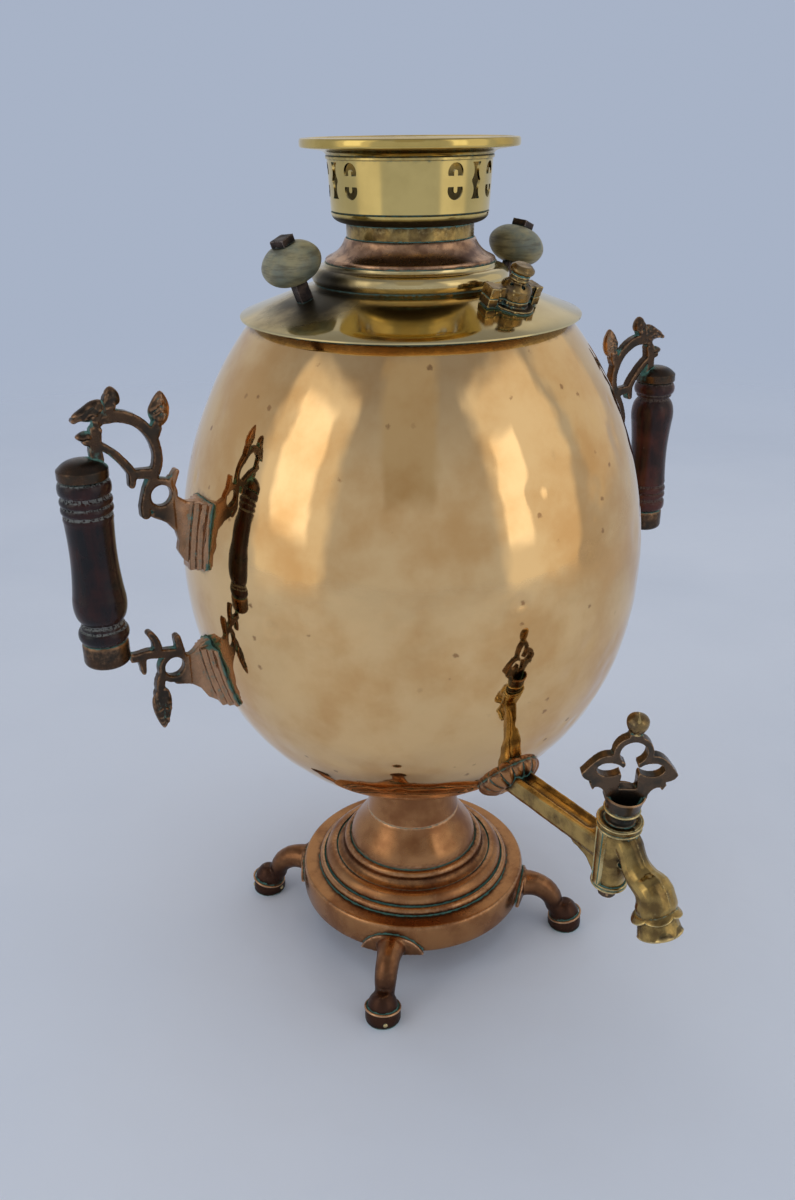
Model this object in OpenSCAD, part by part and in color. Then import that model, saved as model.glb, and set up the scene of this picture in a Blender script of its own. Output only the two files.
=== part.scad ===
// Charcoal samovar with an egg-shaped body, in millimetres.
// +Z is up, the table is z = 0 and the tap points along -Y.
// The vessel's own axis stands behind the origin, so that the origin is in the middle of the footprint.

/* [Feet and base] */
// Height of the base's underside above the table
foot_h = 23.5; // [20:0.5:32]
// Radius of the circle through the middles of the feet
foot_circle_r = 97.8; // [92:0.1:106]
// Largest radius of a hoof
hoof_r = 10.3; // [9:0.1:13]
// Radius of the flat sole of a hoof
sole_r = 9.9; // [7:0.1:10.5]
// Height of a hoof
hoof_h = 18; // [15:0.5:20]
// Half thickness of a leg
leg_r = 7; // [6:0.1:8.5]
// Width of a foot's fan-shaped back plate
fan_w = 38; // [30:0.5:44]
// Thickness of a foot's back plate
fan_t = 2.4; // [1.6:0.1:3.5]
// Radius of the base disc
base_r = 69.7; // [64:0.1:76]
// Height of the base disc's skirt
skirt_h = 17.7; // [13:0.1:21]
// Rounding of the base disc's upper edge
skirt_round = 2.2; // [1:0.1:3]
// Thickness of the cast base
base_wall = 2.2; // [1.6:0.1:3]
// Outer radius of the stepped rings
steps_r = 59.1; // [54:0.1:60]
// Radial width of the lowest ring
step_w1 = 3.9; // [3:0.1:5]
// Radial width of the middle ring
step_w2 = 7.3; // [6:0.1:9]
// Radial width of the upper ring with its hollow
step_w3 = 8.9; // [7:0.1:10]
// Height of the lowest ring
step_h1 = 4.2; // [3:0.1:6]
// Height of the middle ring
step_h2 = 6.4; // [5:0.1:8]
// Height of the upper ring with its hollow
step_h3 = 7.4; // [6:0.1:9]

/* [Pedestal] */
// Height of the bell from the rings to the waist
bell_h = 21.5; // [16:0.5:28]
// Radius at the waist
waist_r = 28.2; // [27:0.1:31]
// Height of the neck from the waist to the egg's lowest point
neck_h = 26; // [20:0.5:34]
// Radius of the neck where it meets the egg
neck_top_r = 25.6; // [25:0.1:28]

/* [Vessel] */
// Radius of the egg at its middle
egg_r = 124.5; // [112:0.5:136]
// Half the length of the whole egg
egg_half = 156.5; // [146:0.5:168]
// How much fuller the lower half is than the upper half
egg_skew = 0.063; // [0.03:0.001:0.09]
// Thickness of the vessel's sheet
vessel_wall = 1.4; // [1:0.1:2.4]
// Height of the mouth above the egg's middle
mouth_rise = 115.8; // [108:0.1:122]
// Radial width of the mouth ring
mouth_ring_w = 5; // [4:0.1:7]
// Thickness of the mouth ring
mouth_ring_t = 1.8; // [1.2:0.1:3]
// Depth of the mouth ring's collar inside the vessel
mouth_collar_h = 8; // [5:0.5:14]

/* [Fire tube] */
// Outer radius of the tube's upper end
tube_top_r = 29.9; // [27:0.1:31]
// Outer radius of the tube's fire bowl
tube_bowl_r = 42.5; // [36:0.1:50]
// Outer radius of the tube's lower end
tube_foot_r = 22.2; // [19:0.1:22.6]
// Thickness of the tube
tube_wall = 1.5; // [1:0.1:2.5]
// Length of the tube's straight upper end
tube_top_l = 19; // [12:0.5:28]
// How far the tube stands above the lid's collar
tube_stand = 4.5; // [2:0.1:6]
// Height of the fire bowl's widest place above the egg's lowest point
bowl_rise = 46; // [36:0.5:60]
// Radius of the grate
grate_r = 26.6; // [24.5:0.1:27]
// Thickness of the grate
grate_t = 3; // [2:0.1:5]
// Radius of the holes in the grate
grate_hole_r = 2; // [1.2:0.1:2.4]

/* [Lid] */
// How far the lid's rim stands out past the mouth
lid_overhang = 6.2; // [3:0.1:8]
// Thickness of the lid's sheet
lid_t = 1.3; // [1:0.1:2]
// Rise of the lid's cone from its rim to the hollow under the torus
cone_rise = 12.2; // [9:0.1:16]
// Radius where the lid's cone ends
cone_top_r = 54; // [52:0.1:58]
// Radius of the torus moulding
torus_r = 49.4; // [47:0.1:50]
// Radius of the torus moulding's section
torus_s = 4.3; // [3.5:0.1:5]
// Height of the torus moulding's middle above the top of the cone
torus_rise = 6; // [5:0.1:8]
// Radius of the lid's top edge under the copper collar
lid_top_r = 43; // [42.6:0.1:44]
// Height of that edge above the torus moulding's middle
lid_top_rise = 6.2; // [5:0.1:8]
// Radius of the copper collar's lip
collar_lip_r = 42.2; // [41:0.1:42.4]
// Radius of the copper collar's top
collar_top_r = 32.2; // [31.8:0.1:34]
// Height of the copper collar
collar_h = 11.4; // [9:0.1:15]
// Depth of the lid's bearing ring below its seat
lid_skirt_h = 7; // [4:0.5:12]

/* [Knobs and steam vent] */
// How far outside the end of the lid's cone the knobs stand
knob_in = 5.4; // [4:0.1:9]
// Radius of a wooden knob
knob_r = 14.6; // [12:0.1:17]
// Thickness of a wooden knob
knob_t = 18; // [15:0.1:22]
// Length of bare bolt between the lid and a knob
knob_stand = 9.6; // [5:0.1:12]
// Radius of a knob's bolt
bolt_r = 3; // [2:0.1:4]
// Width of the square part of a knob's bolt
bolt_square = 6.6; // [6:0.1:8]
// Width of a knob bolt's square head
bolt_head_w = 8.4; // [8:0.1:12]
// Height of a knob bolt's square head
bolt_head_h = 3.6; // [3:0.1:7]
// Width of the square nut under the lid
nut_w = 11; // [9:0.1:13]
// Thickness of the square nut under the lid
nut_t = 4; // [3:0.1:6]
// Direction of the vent, counted from the tap towards +X
vent_turn = 14; // [0:1:40]
// How far outside the end of the lid's cone the vent stands
vent_in = 8.5; // [7:0.1:12]
// Distance from the vent's pin to the ends of its arms
vent_arm_l = 16; // [13:0.1:17]
// Thickness of the vent's fixed plate
vent_base_t = 4; // [3:0.1:6]
// Thickness of the vent's turning plate
vent_cap_t = 4.8; // [4:0.1:7]
// Height of the vent's turning piece
vent_cap_h = 15.4; // [13:0.1:19]
// Radius of the vent's turned knob
vent_knob_r = 5.7; // [4.5:0.1:7]
// Radius of the vent's pin
vent_pin_r = 1.6; // [1.2:0.1:2]
// Turn that opens the vent
vent_open = 24; // [20:1:25]
// Radius of the vent's steam holes
steam_hole_r = 1; // [0.6:0.1:1.1]

/* [Crown] */
// Outer radius of the crown's rim
crown_r = 53; // [50:0.1:58]
// Height of the rolled rim
rim_h = 4.3; // [3:0.1:6]
// Width of the rim's flat top
rim_w = 2.8; // [2:0.1:4]
// Radius of the pierced band at its top
band_top_r = 40; // [39.8:0.1:42]
// Radius of the pierced band at its bottom
band_low_r = 38.7; // [38:0.1:39.6]
// Height of the pierced band
band_h = 23; // [20:0.5:27]
// Height of the flared rim piece
flare_h = 9.4; // [8:0.1:14]
// Height of the cup under the band
cup_h = 6; // [5:0.1:9]
// Outer radius of the crown's collar
crown_collar_r = 31.5; // [31.4:0.1:33]
// Height of the crown's collar
crown_collar_h = 6.8; // [5:0.1:9]
// Thickness of the crown's sheet
crown_wall = 1.3; // [1:0.1:2]
// Radius of the crown's round piercings
pierce_r = 4.5; // [4:0.1:4.8]
// Direction of the first group of piercings, counted from the tap towards +X
pierce_turn = 21; // [0:1:60]

/* [Handles] */
// Distance from the egg's middle radius to a grip's axis
handle_reach = 51; // [46:0.5:58]
// Turn of the pair of handles about the vessel, from square to the tap
handle_turn = -2.5; // [-5:0.5:5]
// Height of the grip's middle above the egg's middle
grip_rise = 18.8; // [8:0.5:24]
// Length of a wooden grip
grip_l = 80.5; // [76:0.5:86]
// Largest radius of a wooden grip
grip_r = 12.9; // [11:0.1:14]
// Radius of a grip's iron spindle
spindle_r = 3; // [2.4:0.1:3.6]
// Radius of the cap over a grip
cap_r = 11.7; // [10:0.1:13]
// Height of the straight edge of the cap
cap_edge_h = 5; // [3:0.1:7]
// Height of the cap's dome
cap_dome_h = 4.2; // [3:0.1:8]
// Radius of the ferrule under a grip
ferrule_r = 11.1; // [10:0.1:12]
// Height of the ferrule under a grip
ferrule_h = 12; // [9:0.1:15]
// Thickness of a bracket's scrollwork
bracket_t = 5.4; // [5:0.1:9]
// Width of a bracket's pad on the vessel
pad_w = 22; // [17:0.5:28]
// Radius of the round hole in a bracket
eye_r = 5.5; // [4:0.1:5.8]

/* [Tap] */
// Depth of the tap's axis below the egg's middle
tap_drop = 113; // [106:0.5:118]
// Distance from the vessel's surface to the plug's axis
tap_l = 79; // [70:0.5:92]
// Lean of the plug, outwards at the top
tap_lean = 5.5; // [0:0.5:9]
// Width of the tap's arm
arm_w = 12.4; // [11:0.1:15]
// Height of the tap's arm
arm_h = 14; // [12:0.1:16]
// Radius of the water channel in the arm
channel_r = 4; // [3:0.1:4.4]
// Outer radius of the plug housing at its top
housing_top_r = 9.7; // [9:0.1:11.5]
// Outer radius of the plug housing at its bottom
housing_low_r = 7.4; // [7.2:0.1:9]
// Height of the plug housing above the tap's axis
housing_up = 20.5; // [18:0.1:24]
// Depth of the plug housing below the tap's axis
housing_down = 19.5; // [17:0.1:23]
// Radius of the plug at the top of its housing
plug_top_r = 7.3; // [6.6:0.1:7.6]
// Radius of the plug at the bottom of its housing
plug_low_r = 5.2; // [4.8:0.1:5.4]
// Radius of the port through the plug
port_r = 3.4; // [2.6:0.1:3.6]
// Radius of the spout's outlet
outlet_r = 6.2; // [5:0.1:7]
// Length of the round outlet
outlet_l = 9; // [6:0.1:12]
// Angle of the outlet's axis from straight down
outlet_lean = 22; // [15:1:30]
// Radius of the rosette round the arm
rosette_r = 17.6; // [15:0.5:22]
// Height of the rosette
rosette_h = 6.5; // [4:0.5:9]
// Turn of the plug's port from the tap's own direction, square to it when the tap is shut
port_turn = 90; // [86:1:94]
// Turn of the key from the tap's own direction
key_turn = 58; // [50:1:70]
// Half the width of the key over its beaks
key_half_w = 22.4; // [21:0.1:26]
// Height of the upper lobe's middle above the side lobes
lobe_rise = 10.2; // [9:0.1:11.4]
// Radius of the upper lobe's opening
lobe_hole_r = 6.2; // [5:0.1:6.6]
// Width of the bar round the upper lobe
key_bar = 3; // [2.6:0.1:4]
// Thickness of the key
key_t = 5.2; // [4:0.1:7]
// Radius of the ball on the key
key_ball_r = 5; // [4:0.1:6]

/* [Clearances] */
// Gap between soldered pieces
solder_gap = 0.05; // [0.02:0.01:0.08]
// Running gap round a pin, plug or spindle
run_gap = 0.08; // [0.03:0.01:0.1]
// Gap between pieces that lift off and what they fit over or into
slip_gap = 0.3; // [0.2:0.05:0.35]
// End gap above and below a loose grip
grip_gap = 0.6; // [0.3:0.1:0.9]

/* [Hidden] */
$fn = 64;

// Colours
copper = [0.66, 0.45, 0.30];
tombak = [0.83, 0.66, 0.40];
brass = [0.72, 0.62, 0.30];
dark_bronze = [0.35, 0.27, 0.20];
iron = [0.25, 0.20, 0.18];
dark_wood = [0.22, 0.10, 0.08];
pale_wood = [0.45, 0.42, 0.30];
tap_brass = [0.58, 0.47, 0.27];

// Heights, from the table upwards
base_top_z = foot_h + skirt_h;
rings_top_z = base_top_z + step_h1 + step_h2 + step_h3;
waist_z = rings_top_z + bell_h;
egg_low_z = waist_z + neck_h;
egg_mid_z = egg_low_z + egg_half;
mouth_z = egg_mid_z + mouth_rise;
mouth_top_z = mouth_z + mouth_ring_t;
rings_top_r = steps_r - step_w1 - step_w2 - step_w3;

// The egg's radius at height z
function egg_at(z, wall = 0) =
    let (u = (z - egg_mid_z)/(egg_half - wall))
    (egg_r - wall)*sqrt(max(0, 1 - u*u))*(1 - egg_skew*u);
// How fast the egg's radius grows with height
function egg_slope(z) = (egg_at(z + 0.5) - egg_at(z - 0.5));
// Height on the egg's lower part, or on its upper part, where its radius is r
function egg_low(r, lo, hi) =
    hi - lo < 0.001 ? lo
        : (egg_at((lo + hi)/2) < r ? egg_low(r, (lo + hi)/2, hi) : egg_low(r, lo, (lo + hi)/2));

mouth_r = egg_at(mouth_z);
knob_circle_r = cone_top_r + knob_in;
vent_circle_r = cone_top_r + vent_in;
lid_r = mouth_r + lid_overhang;
mouth_hole_r = mouth_r + 1 - mouth_ring_w;

// The lid's cone, its underside passing through the rim's lower edge
lid_z = mouth_z + 0.6;
cone_slope = cone_rise/(lid_r - cone_top_r);
cone_angle = atan(cone_slope);
function under_cone(r) = lid_z + (lid_r - r)*cone_slope;
function on_cone(r) = under_cone(r) + lid_t;
cone_top_z = on_cone(cone_top_r);
torus_z = cone_top_z + torus_rise;
lid_top_z = torus_z + lid_top_rise;
collar_top_z = lid_top_z + collar_h;

// The fire tube
tube_top_z = collar_top_z + tube_stand;
tube_shoulder_z = egg_low_z + 6.5;
tube_shoulder_r = grate_r + slip_gap + tube_wall;
grate_z = tube_shoulder_z + tube_wall;
bowl_z = egg_low_z + bowl_rise;

// The crown
crown_z = collar_top_z;
cup_z = crown_z + crown_collar_h;
band_z = cup_z + cup_h;
flare_z = band_z + band_h;
crown_top_z = flare_z + flare_h;

// The handles
grip_axis_r = egg_r + handle_reach;
grip_mid_z = egg_mid_z + grip_rise;
grip_top_z = grip_mid_z + grip_l/2;
grip_low_z = grip_mid_z - grip_l/2;

// The tap, with its spout as points outwards from the plug's axis and up from the tap's axis
tap_z = egg_mid_z - tap_drop;
plug_reach = egg_at(tap_z) + tap_l;
outlet_mouth = [32.5, -26];
spout_path = bez([[2, 12], [12, 12], [16, -3], [22, -4]], 6);
nozzle_path = bez([[22, -4], [27, -5], outlet_mouth + 12*[-sin(outlet_lean), cos(outlet_lean)],
    outlet_mouth], 7);
tap_path = concat([for (i = [0:5]) spout_path[i]], nozzle_path);
tap_depth_sizes = [[0, 6], [0.25, 6.6], [0.5, 7.8], [0.72, 8], [0.8, 9.4], [0.86, 8.2], [1, 10]];
tap_width_sizes = [[0, 7], [0.25, 7.6], [0.5, 9.3], [0.72, 9.6], [0.8, 11.2], [0.86, 9.4], [1, 11.4]];
tap_out = plug_reach + outlet_mouth[0] + 10*cos(outlet_lean);

// The vessel's axis stands this far behind the origin
axis_y = (tap_out - egg_r)/2;

// ---- Helpers ----

function mix(a, b, t) = a + (b - a)*t;
function arc(c, r, a0, a1, n = 10) =
    [for (i = [0:n]) c + r*[cos(mix(a0, a1, i/n)), sin(mix(a0, a1, i/n))]];
function bez(p, n = 10) =
    [for (i = [0:n]) let (t = i/n, u = 1 - t)
        p[0]*u*u*u + 3*p[1]*u*u*t + 3*p[2]*u*t*t + p[3]*t*t*t];
function flip(list) = [for (i = [len(list) - 1:-1:0]) list[i]];
function mirrored(list) = [for (p = list) [-p[0], p[1]]];
function heading(path, i) =
    let (d = path[min(len(path) - 1, i + 1)] - path[max(0, i - 1)]) d/norm(d);
function beside(path, w0, w1, s) =
    [for (i = [0:len(path) - 1]) let (d = heading(path, i), w = mix(w0, w1, i/(len(path) - 1)))
        path[i] + s*w/2*[-d[1], d[0]]];
// Points of a sheet between an outer line and the same line moved inwards
function inward(line, t) = [for (p = line) [p[0] - t, p[1]]];

// Everything is drawn round the vessel's own axis
module on_axis() translate([0, axis_y, 0]) children();

// A bar of changing width along a path, with round ends
module ribbon(path, w0, w1) {
    polygon(concat(beside(path, w0, w1, 1), flip(beside(path, w0, w1, -1))));
    translate(path[0]) circle(d = w0, $fn = 20);
    translate(path[len(path) - 1]) circle(d = w1, $fn = 20);
}

// A closed skin of oval rings along a path in the XZ plane
module swept(path, deep, wide, sides = 16) {
    n = len(path);
    points = [for (i = [0:n - 1]) let (d = heading(path, i)) for (k = [0:sides - 1])
        let (u = deep[i]*cos(360*k/sides), v = wide[i]*sin(360*k/sides))
        [path[i][0] - d[1]*u, v, path[i][1] + d[0]*u]];
    walls = [for (i = [0:n - 2], k = [0:sides - 1])
        let (k2 = (k + 1)%sides, a = i*sides, b = a + sides)
        each [[a + k, a + k2, b + k2], [a + k, b + k2, b + k]]];
    first = [for (k = [1:sides - 2]) [0, k + 1, k]];
    last = [for (k = [1:sides - 2]) (n - 1)*sides*[1, 1, 1] + [0, k, k + 1]];
    polyhedron(points, concat(walls, first, last));
}
// Sizes along a path, looked up from a table of [share of the path, size]
function along(path, table) = [for (i = [0:len(path) - 1]) lookup(i/(len(path) - 1), table)];

// ---- Base ----

leg_path = concat(
    bez([[base_r + 1, foot_h + 5], [base_r + 12, foot_h + 7], [foot_circle_r - 8, foot_h],
         [foot_circle_r - 7, hoof_h - 3]], 8),
    [[foot_circle_r - 3, hoof_h - 10]]);

// The fan is the upper part of a circle
fan_low_z = foot_h - 0.4;
fan_rise = 0.75*skirt_h;
fan_circle_r = (fan_w*fan_w/4 + fan_rise*fan_rise)/(2*fan_rise);

module foot(turn) {
    color(copper) on_axis() {
        difference() {
            union() {
                rotate([0, 0, turn - 90])
                     swept(leg_path,
                           along(leg_path, [[0, leg_r + 0.6], [0.3, leg_r + 0.4], [0.75, leg_r - 1],
                                            [1, leg_r - 1.5]]),
                          along(leg_path, [[0, leg_r + 2], [0.25, leg_r], [0.75, leg_r - 0.6],
                                           [1, leg_r - 1.5]]));
                intersection() {
                    cylinder(r = base_r + fan_t, h = foot_h + skirt_h);
                    translate([0, 0, fan_low_z]) rotate([0, 0, turn - 90]) rotate([90, 0, 90])
                        linear_extrude(height = base_r + 2*fan_t) intersection() {
                            translate([0, fan_rise - fan_circle_r]) circle(r = fan_circle_r);
                            translate([-fan_w/2, 0]) square([fan_w, fan_rise]);
                        }
                }
            }
            translate([0, 0, foot_h - 8]) cylinder(r = base_r + solder_gap, h = skirt_h + 20);
        }
        rotate([0, 0, turn - 90]) translate([foot_circle_r, 0, 0]) rotate_extrude()
            polygon(concat([[0, 0], [sole_r, 0], [hoof_r, 1.4], [hoof_r, 4], [hoof_r - 1, 0.44*hoof_h]],
                bez([[hoof_r - 2, 0.46*hoof_h], [hoof_r - 0.8, 0.62*hoof_h], [hoof_r - 3, 0.8*hoof_h],
                     [hoof_r - 5, 0.92*hoof_h]], 6),
                [[hoof_r - 7, hoof_h], [0, hoof_h]]));
    }
}

module base_disc() {
    top = base_top_z;
    color(copper) on_axis() rotate_extrude() polygon(concat(
        [[base_r - base_wall, foot_h], [base_r, foot_h]],
        arc([base_r - skirt_round, top - skirt_round], skirt_round, 0, 90, 6),
        [[steps_r - 8, top], [steps_r - 8, top - base_wall], [base_r - base_wall, top - base_wall]]));
}

module base_rings() {
    z1 = base_top_z + step_h1;
    z2 = z1 + step_h2;
    z3 = z2 + step_h3;
    r1 = steps_r - step_w1;
    r2 = r1 - step_w2;
    r3 = r2 - step_w3;
    outer = concat(
        bez([[steps_r, base_top_z], [steps_r + 1, z1 - 1], [r1 + 2.5, z1 + 0.6], [r1, z1 - 0.6]], 6),
        bez([[r1, z1 - 0.6], [r1 + 1, z2 - 3], [r2 + 5, z2 + 1.2], [r2, z2 - 0.8]], 8),
        bez([[r2, z2 - 0.8], [r2 - 4, z2], [r2 - 4.6, z2 + 0.6], [r3 + 3.6, z3 - 3.4]], 5),
        bez([[r3 + 3.6, z3 - 3.4], [r3 + 4.4, z3 - 0.6], [r3 + 2, z3 + 0.4], [r3, z3 - 0.6]], 5),
        [[r3, z3]]);
    inner = [[r3 - base_wall, z3], [r3 - base_wall, z2 - base_wall], [r2 - base_wall, z1 - base_wall],
             [r2 - base_wall, base_top_z]];
    color(copper) on_axis() rotate_extrude() polygon(concat(outer, inner));
}

module pedestal_bell() {
    outer = concat(
        bez([[rings_top_r, rings_top_z], [rings_top_r - 0.5, rings_top_z + 0.4*bell_h],
             [waist_r + 2.6, waist_z - 0.36*bell_h], [waist_r, waist_z]], 12));
    color(copper) on_axis() rotate_extrude()
        polygon(concat(outer, flip(inward(outer, base_wall))));
}

neck_hole_r = tube_foot_r + solder_gap;

module pedestal_neck() {
    reach_z = egg_low_z + 8;
    color(copper) on_axis() difference() {
        rotate_extrude() polygon(concat(
            bez([[waist_r, waist_z], [waist_r - 0.6, waist_z + 2.5], [neck_top_r + 0.8, waist_z + 7],
                 [neck_top_r, egg_low_z - 4]], 8),
            [[neck_top_r, reach_z], [neck_hole_r, reach_z], [neck_hole_r, waist_z]]));
        egg_solid(solder_gap);
    }
}

// ---- Vessel ----

// Points up the egg from the hole in its bottom to the mouth, evenly spread over its curve
egg_rows = 36;
shell_hole_r = tube_foot_r + solder_gap;
shell_low_z = egg_low(shell_hole_r, egg_low_z, egg_mid_z);
function egg_side(wall) =
    let (z0 = shell_low_z + max(wall, 0), a0 = acos((egg_mid_z - z0)/(egg_half - wall)),
         a1 = acos((egg_mid_z - mouth_z)/(egg_half - wall)))
    [for (i = [0:egg_rows]) let (z = egg_mid_z - (egg_half - wall)*cos(mix(a0, a1, i/egg_rows)))
        [egg_at(z, wall), z]];

// The whole egg, grown by a gap, for cutting seats on it
module egg_solid(gap = 0) {
    rotate_extrude() polygon(concat(
        [[0, egg_mid_z - egg_half - gap]], egg_side(-gap), [[0, egg_mid_z + egg_half + gap]]));
}

// The shell in four courses, so that what touches it meets a thin wall and not a filled egg
module shell_course(course) {
    rows = [for (i = [course*egg_rows/4:(course + 1)*egg_rows/4]) i];
    outer = egg_side(0);
    inner = egg_side(vessel_wall);
    foot = course == 0 ? [[shell_hole_r, shell_low_z + vessel_wall]] : [];
    color(tombak) on_axis() rotate_extrude()
        polygon(concat([for (i = rows) outer[i]], flip([for (i = rows) inner[i]]), foot));
}

module shell_bottom() {
    shell_course(0);
}

module shell_lower() {
    holes = [[0, 0], for (k = [0:5]) 2.6*[cos(60*k), sin(60*k)]];
    // Small holes let the water into the tap and keep scale out
    color(tombak) difference() {
        shell_course(1);
        on_axis() for (p = holes)
            translate([p[0], 0, tap_z + p[1]]) rotate([90, 0, 0]) cylinder(r = 0.9, h = egg_r, $fn = 16);
    }
}

module shell_upper() {
    shell_course(2);
}

module shell_top() {
    shell_course(3);
}

module mouth_ring() {
    outer_r = mouth_r + 1;
    collar_r = egg_at(mouth_z, vessel_wall) - 1.2;
    color(tombak) on_axis() rotate_extrude() polygon([
        [mouth_hole_r, mouth_top_z], [mouth_hole_r, mouth_z - mouth_collar_h],
        [min(collar_r, mouth_hole_r + 1.4), mouth_z - mouth_collar_h],
        [min(collar_r, mouth_hole_r + 1.4), mouth_z],
        [outer_r, mouth_z], [outer_r, mouth_top_z]]);
}

module fire_tube() {
    outer = concat(
        [[tube_foot_r, egg_low_z - 6], [tube_foot_r, tube_shoulder_z], [tube_shoulder_r, tube_shoulder_z],
         [tube_shoulder_r, grate_z + grate_t]],
        bez([[tube_shoulder_r + 1, grate_z + grate_t + 2], [tube_bowl_r - 4, bowl_z - 20],
             [tube_bowl_r, bowl_z - 12], [tube_bowl_r, bowl_z]], 6),
        [[tube_top_r, tube_top_z - tube_top_l], [tube_top_r, tube_top_z]]);
    inner = concat(
        [[tube_foot_r - tube_wall, egg_low_z - 6], [tube_foot_r - tube_wall, grate_z],
         [tube_shoulder_r - tube_wall, grate_z], [tube_shoulder_r - tube_wall, grate_z + grate_t + 0.6]],
        bez([[tube_shoulder_r - tube_wall + 1, grate_z + grate_t + 2.6],
             [tube_bowl_r - tube_wall - 4, bowl_z - 19], [tube_bowl_r - tube_wall, bowl_z - 12],
             [tube_bowl_r - tube_wall, bowl_z]], 6),
        [[tube_top_r - tube_wall, tube_top_z - tube_top_l], [tube_top_r - tube_wall, tube_top_z]]);
    color(copper) on_axis() rotate_extrude() polygon(concat(outer, flip(inner)));
}

module grate() {
    pitch = 3*grate_hole_r;
    color(iron) on_axis() translate([0, 0, grate_z]) difference() {
        cylinder(r = grate_r, h = grate_t);
        for (i = [-4:4], j = [-4:4])
            let (x = pitch*(i + j/2), y = pitch*j*sin(60))
                if (norm([x, y]) < grate_r - grate_hole_r - 2)
                    translate([x, y, -1]) cylinder(r = grate_hole_r, h = grate_t + 2, $fn = 24);
    }
}

// ---- Lid ----

module lid_disc() {
    outer = concat(
        [[lid_r - 0.6, under_cone(lid_r - 0.6)], [lid_r, lid_z + 0.4], [lid_r, lid_z + lid_t - 0.2],
         [lid_r - 0.6, on_cone(lid_r - 0.6)]],
        bez([[cone_top_r, cone_top_z], [cone_top_r - 3, cone_top_z + 0.8], [torus_r - 2.2, cone_top_z + 0.6],
             [torus_r - 2.4, torus_z - torus_s + 0.7]], 6),
        arc([torus_r - torus_s, torus_z], torus_s, -50, 80, 12),
        bez([[torus_r - torus_s, torus_z + torus_s], [lid_top_r + 0.6, torus_z + torus_s],
             [lid_top_r, torus_z + torus_s + 0.4], [lid_top_r, lid_top_z]], 4));
    inner = [[collar_lip_r - 2.6, lid_top_z], [collar_lip_r - 2.6, torus_z],
             [cone_top_r - 6, under_cone(cone_top_r) + 1], [cone_top_r, under_cone(cone_top_r)]];
    color(brass) on_axis() difference() {
        rotate_extrude() polygon(concat(outer, inner));
        for (side = [-1, 1]) on_lid(side*90 + handle_turn)
            translate([0, 0, -5]) cylinder(r = bolt_r + solder_gap, h = 10);
        on_lid(vent_turn, vent_circle_r) {
            translate([0, 0, -5]) cylinder(r = vent_pin_r + solder_gap, h = 10);
            steam_holes(0);
        }
    }
}

module lid_collar() {
    top = collar_top_z;
    base = lid_top_z;
    outer = concat(
        [[collar_lip_r - 0.4, base], [collar_lip_r, base + 0.6], [collar_lip_r - 0.2, base + 1.6]],
        bez([[collar_lip_r - 0.9, base + 2.2], [collar_top_r + 3.4, base + 4.6],
             [collar_top_r + 1.6, top - 4.2],
             [collar_top_r, top]], 8));
    inner = concat(
        bez([[tube_top_r + 2*slip_gap + 0.2, top], [tube_top_r + 2*slip_gap + 1.4, top - 4.4],
             [collar_top_r + 2.2, base + 3.6], [collar_lip_r - 2.6, base]], 6));
    color(copper) on_axis() rotate_extrude() polygon(concat(outer, inner));
}

// A wedge-shaped ring under the cone rests on the mouth ring and drops into the mouth
module lid_bearing_ring() {
    skirt_r = mouth_hole_r - 2*slip_gap;
    color(brass) on_axis() rotate_extrude() polygon([
        [skirt_r, mouth_top_z], [skirt_r, mouth_top_z - lid_skirt_h],
        [skirt_r - 1.2, mouth_top_z - lid_skirt_h],
        [skirt_r - 1.2, under_cone(skirt_r - 1.2)], [mouth_r + 1, under_cone(mouth_r + 1)],
        [mouth_r + 1, mouth_top_z]]);
}

// ---- Knobs ----

// Stands its children square to the lid's cone, on its upper face
module on_lid(turn, r = knob_circle_r) {
    rotate([0, 0, turn - 90]) translate([r, 0, on_cone(r)]) rotate([0, cone_angle, 0]) children();
}

// Rows of steam holes, turned about the vent's pin
module steam_holes(turn) {
    for (k = [0:5]) rotate([0, 0, turn + 60*k])
        translate([5.4, 0, -5]) cylinder(r = steam_hole_r, h = 30, $fn = 20);
}

module knob(turn) {
    half = knob_t/2;
    flat_r = bolt_r + 2.4;
    color(pale_wood) on_axis() on_lid(turn) translate([0, 0, knob_stand + half]) difference() {
        rotate_extrude() polygon(concat(
            [[0, -half], [flat_r, -half]],
            bez([[flat_r, -half], [knob_r*0.72, -half], [knob_r, -half*0.5], [knob_r, 0]], 10),
            bez([[knob_r, 0], [knob_r, half*0.5], [knob_r*0.72, half], [flat_r, half]], 10),
            [[0, half]]));
        cylinder(r = bolt_r + solder_gap, h = 2*knob_t, center = true);
    }
}

module knob_bolt(turn) {
    top = knob_stand + knob_t;
    color(iron) on_axis() on_lid(turn) {
        translate([0, 0, -lid_t - nut_t - 2]) cylinder(r = bolt_r, h = top + lid_t + nut_t + 3);
        translate([-bolt_square/2, -bolt_square/2, 0]) cube([bolt_square, bolt_square, knob_stand]);
        rotate([0, 0, 20]) translate([-bolt_head_w/2, -bolt_head_w/2, top])
            cube([bolt_head_w, bolt_head_w, bolt_head_h]);
    }
}

module knob_nut(turn) {
    color(iron) on_axis() on_lid(turn) translate([0, 0, -lid_t - nut_t]) difference() {
        translate([-nut_w/2, -nut_w/2, 0]) cube([nut_w, nut_w, nut_t]);
        translate([0, 0, -1]) cylinder(r = bolt_r + solder_gap, h = nut_t + 2);
    }
}

// ---- Steam vent ----

module vent_outline() {
    circle(r = 7.6);
    for (side = [-1, 1]) rotate(98*side - 10) {
        translate([4, -2.6]) square([vent_arm_l - 6, 5.2]);
        translate([vent_arm_l - 5, -4]) square([5, 8]);
    }
}

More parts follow.
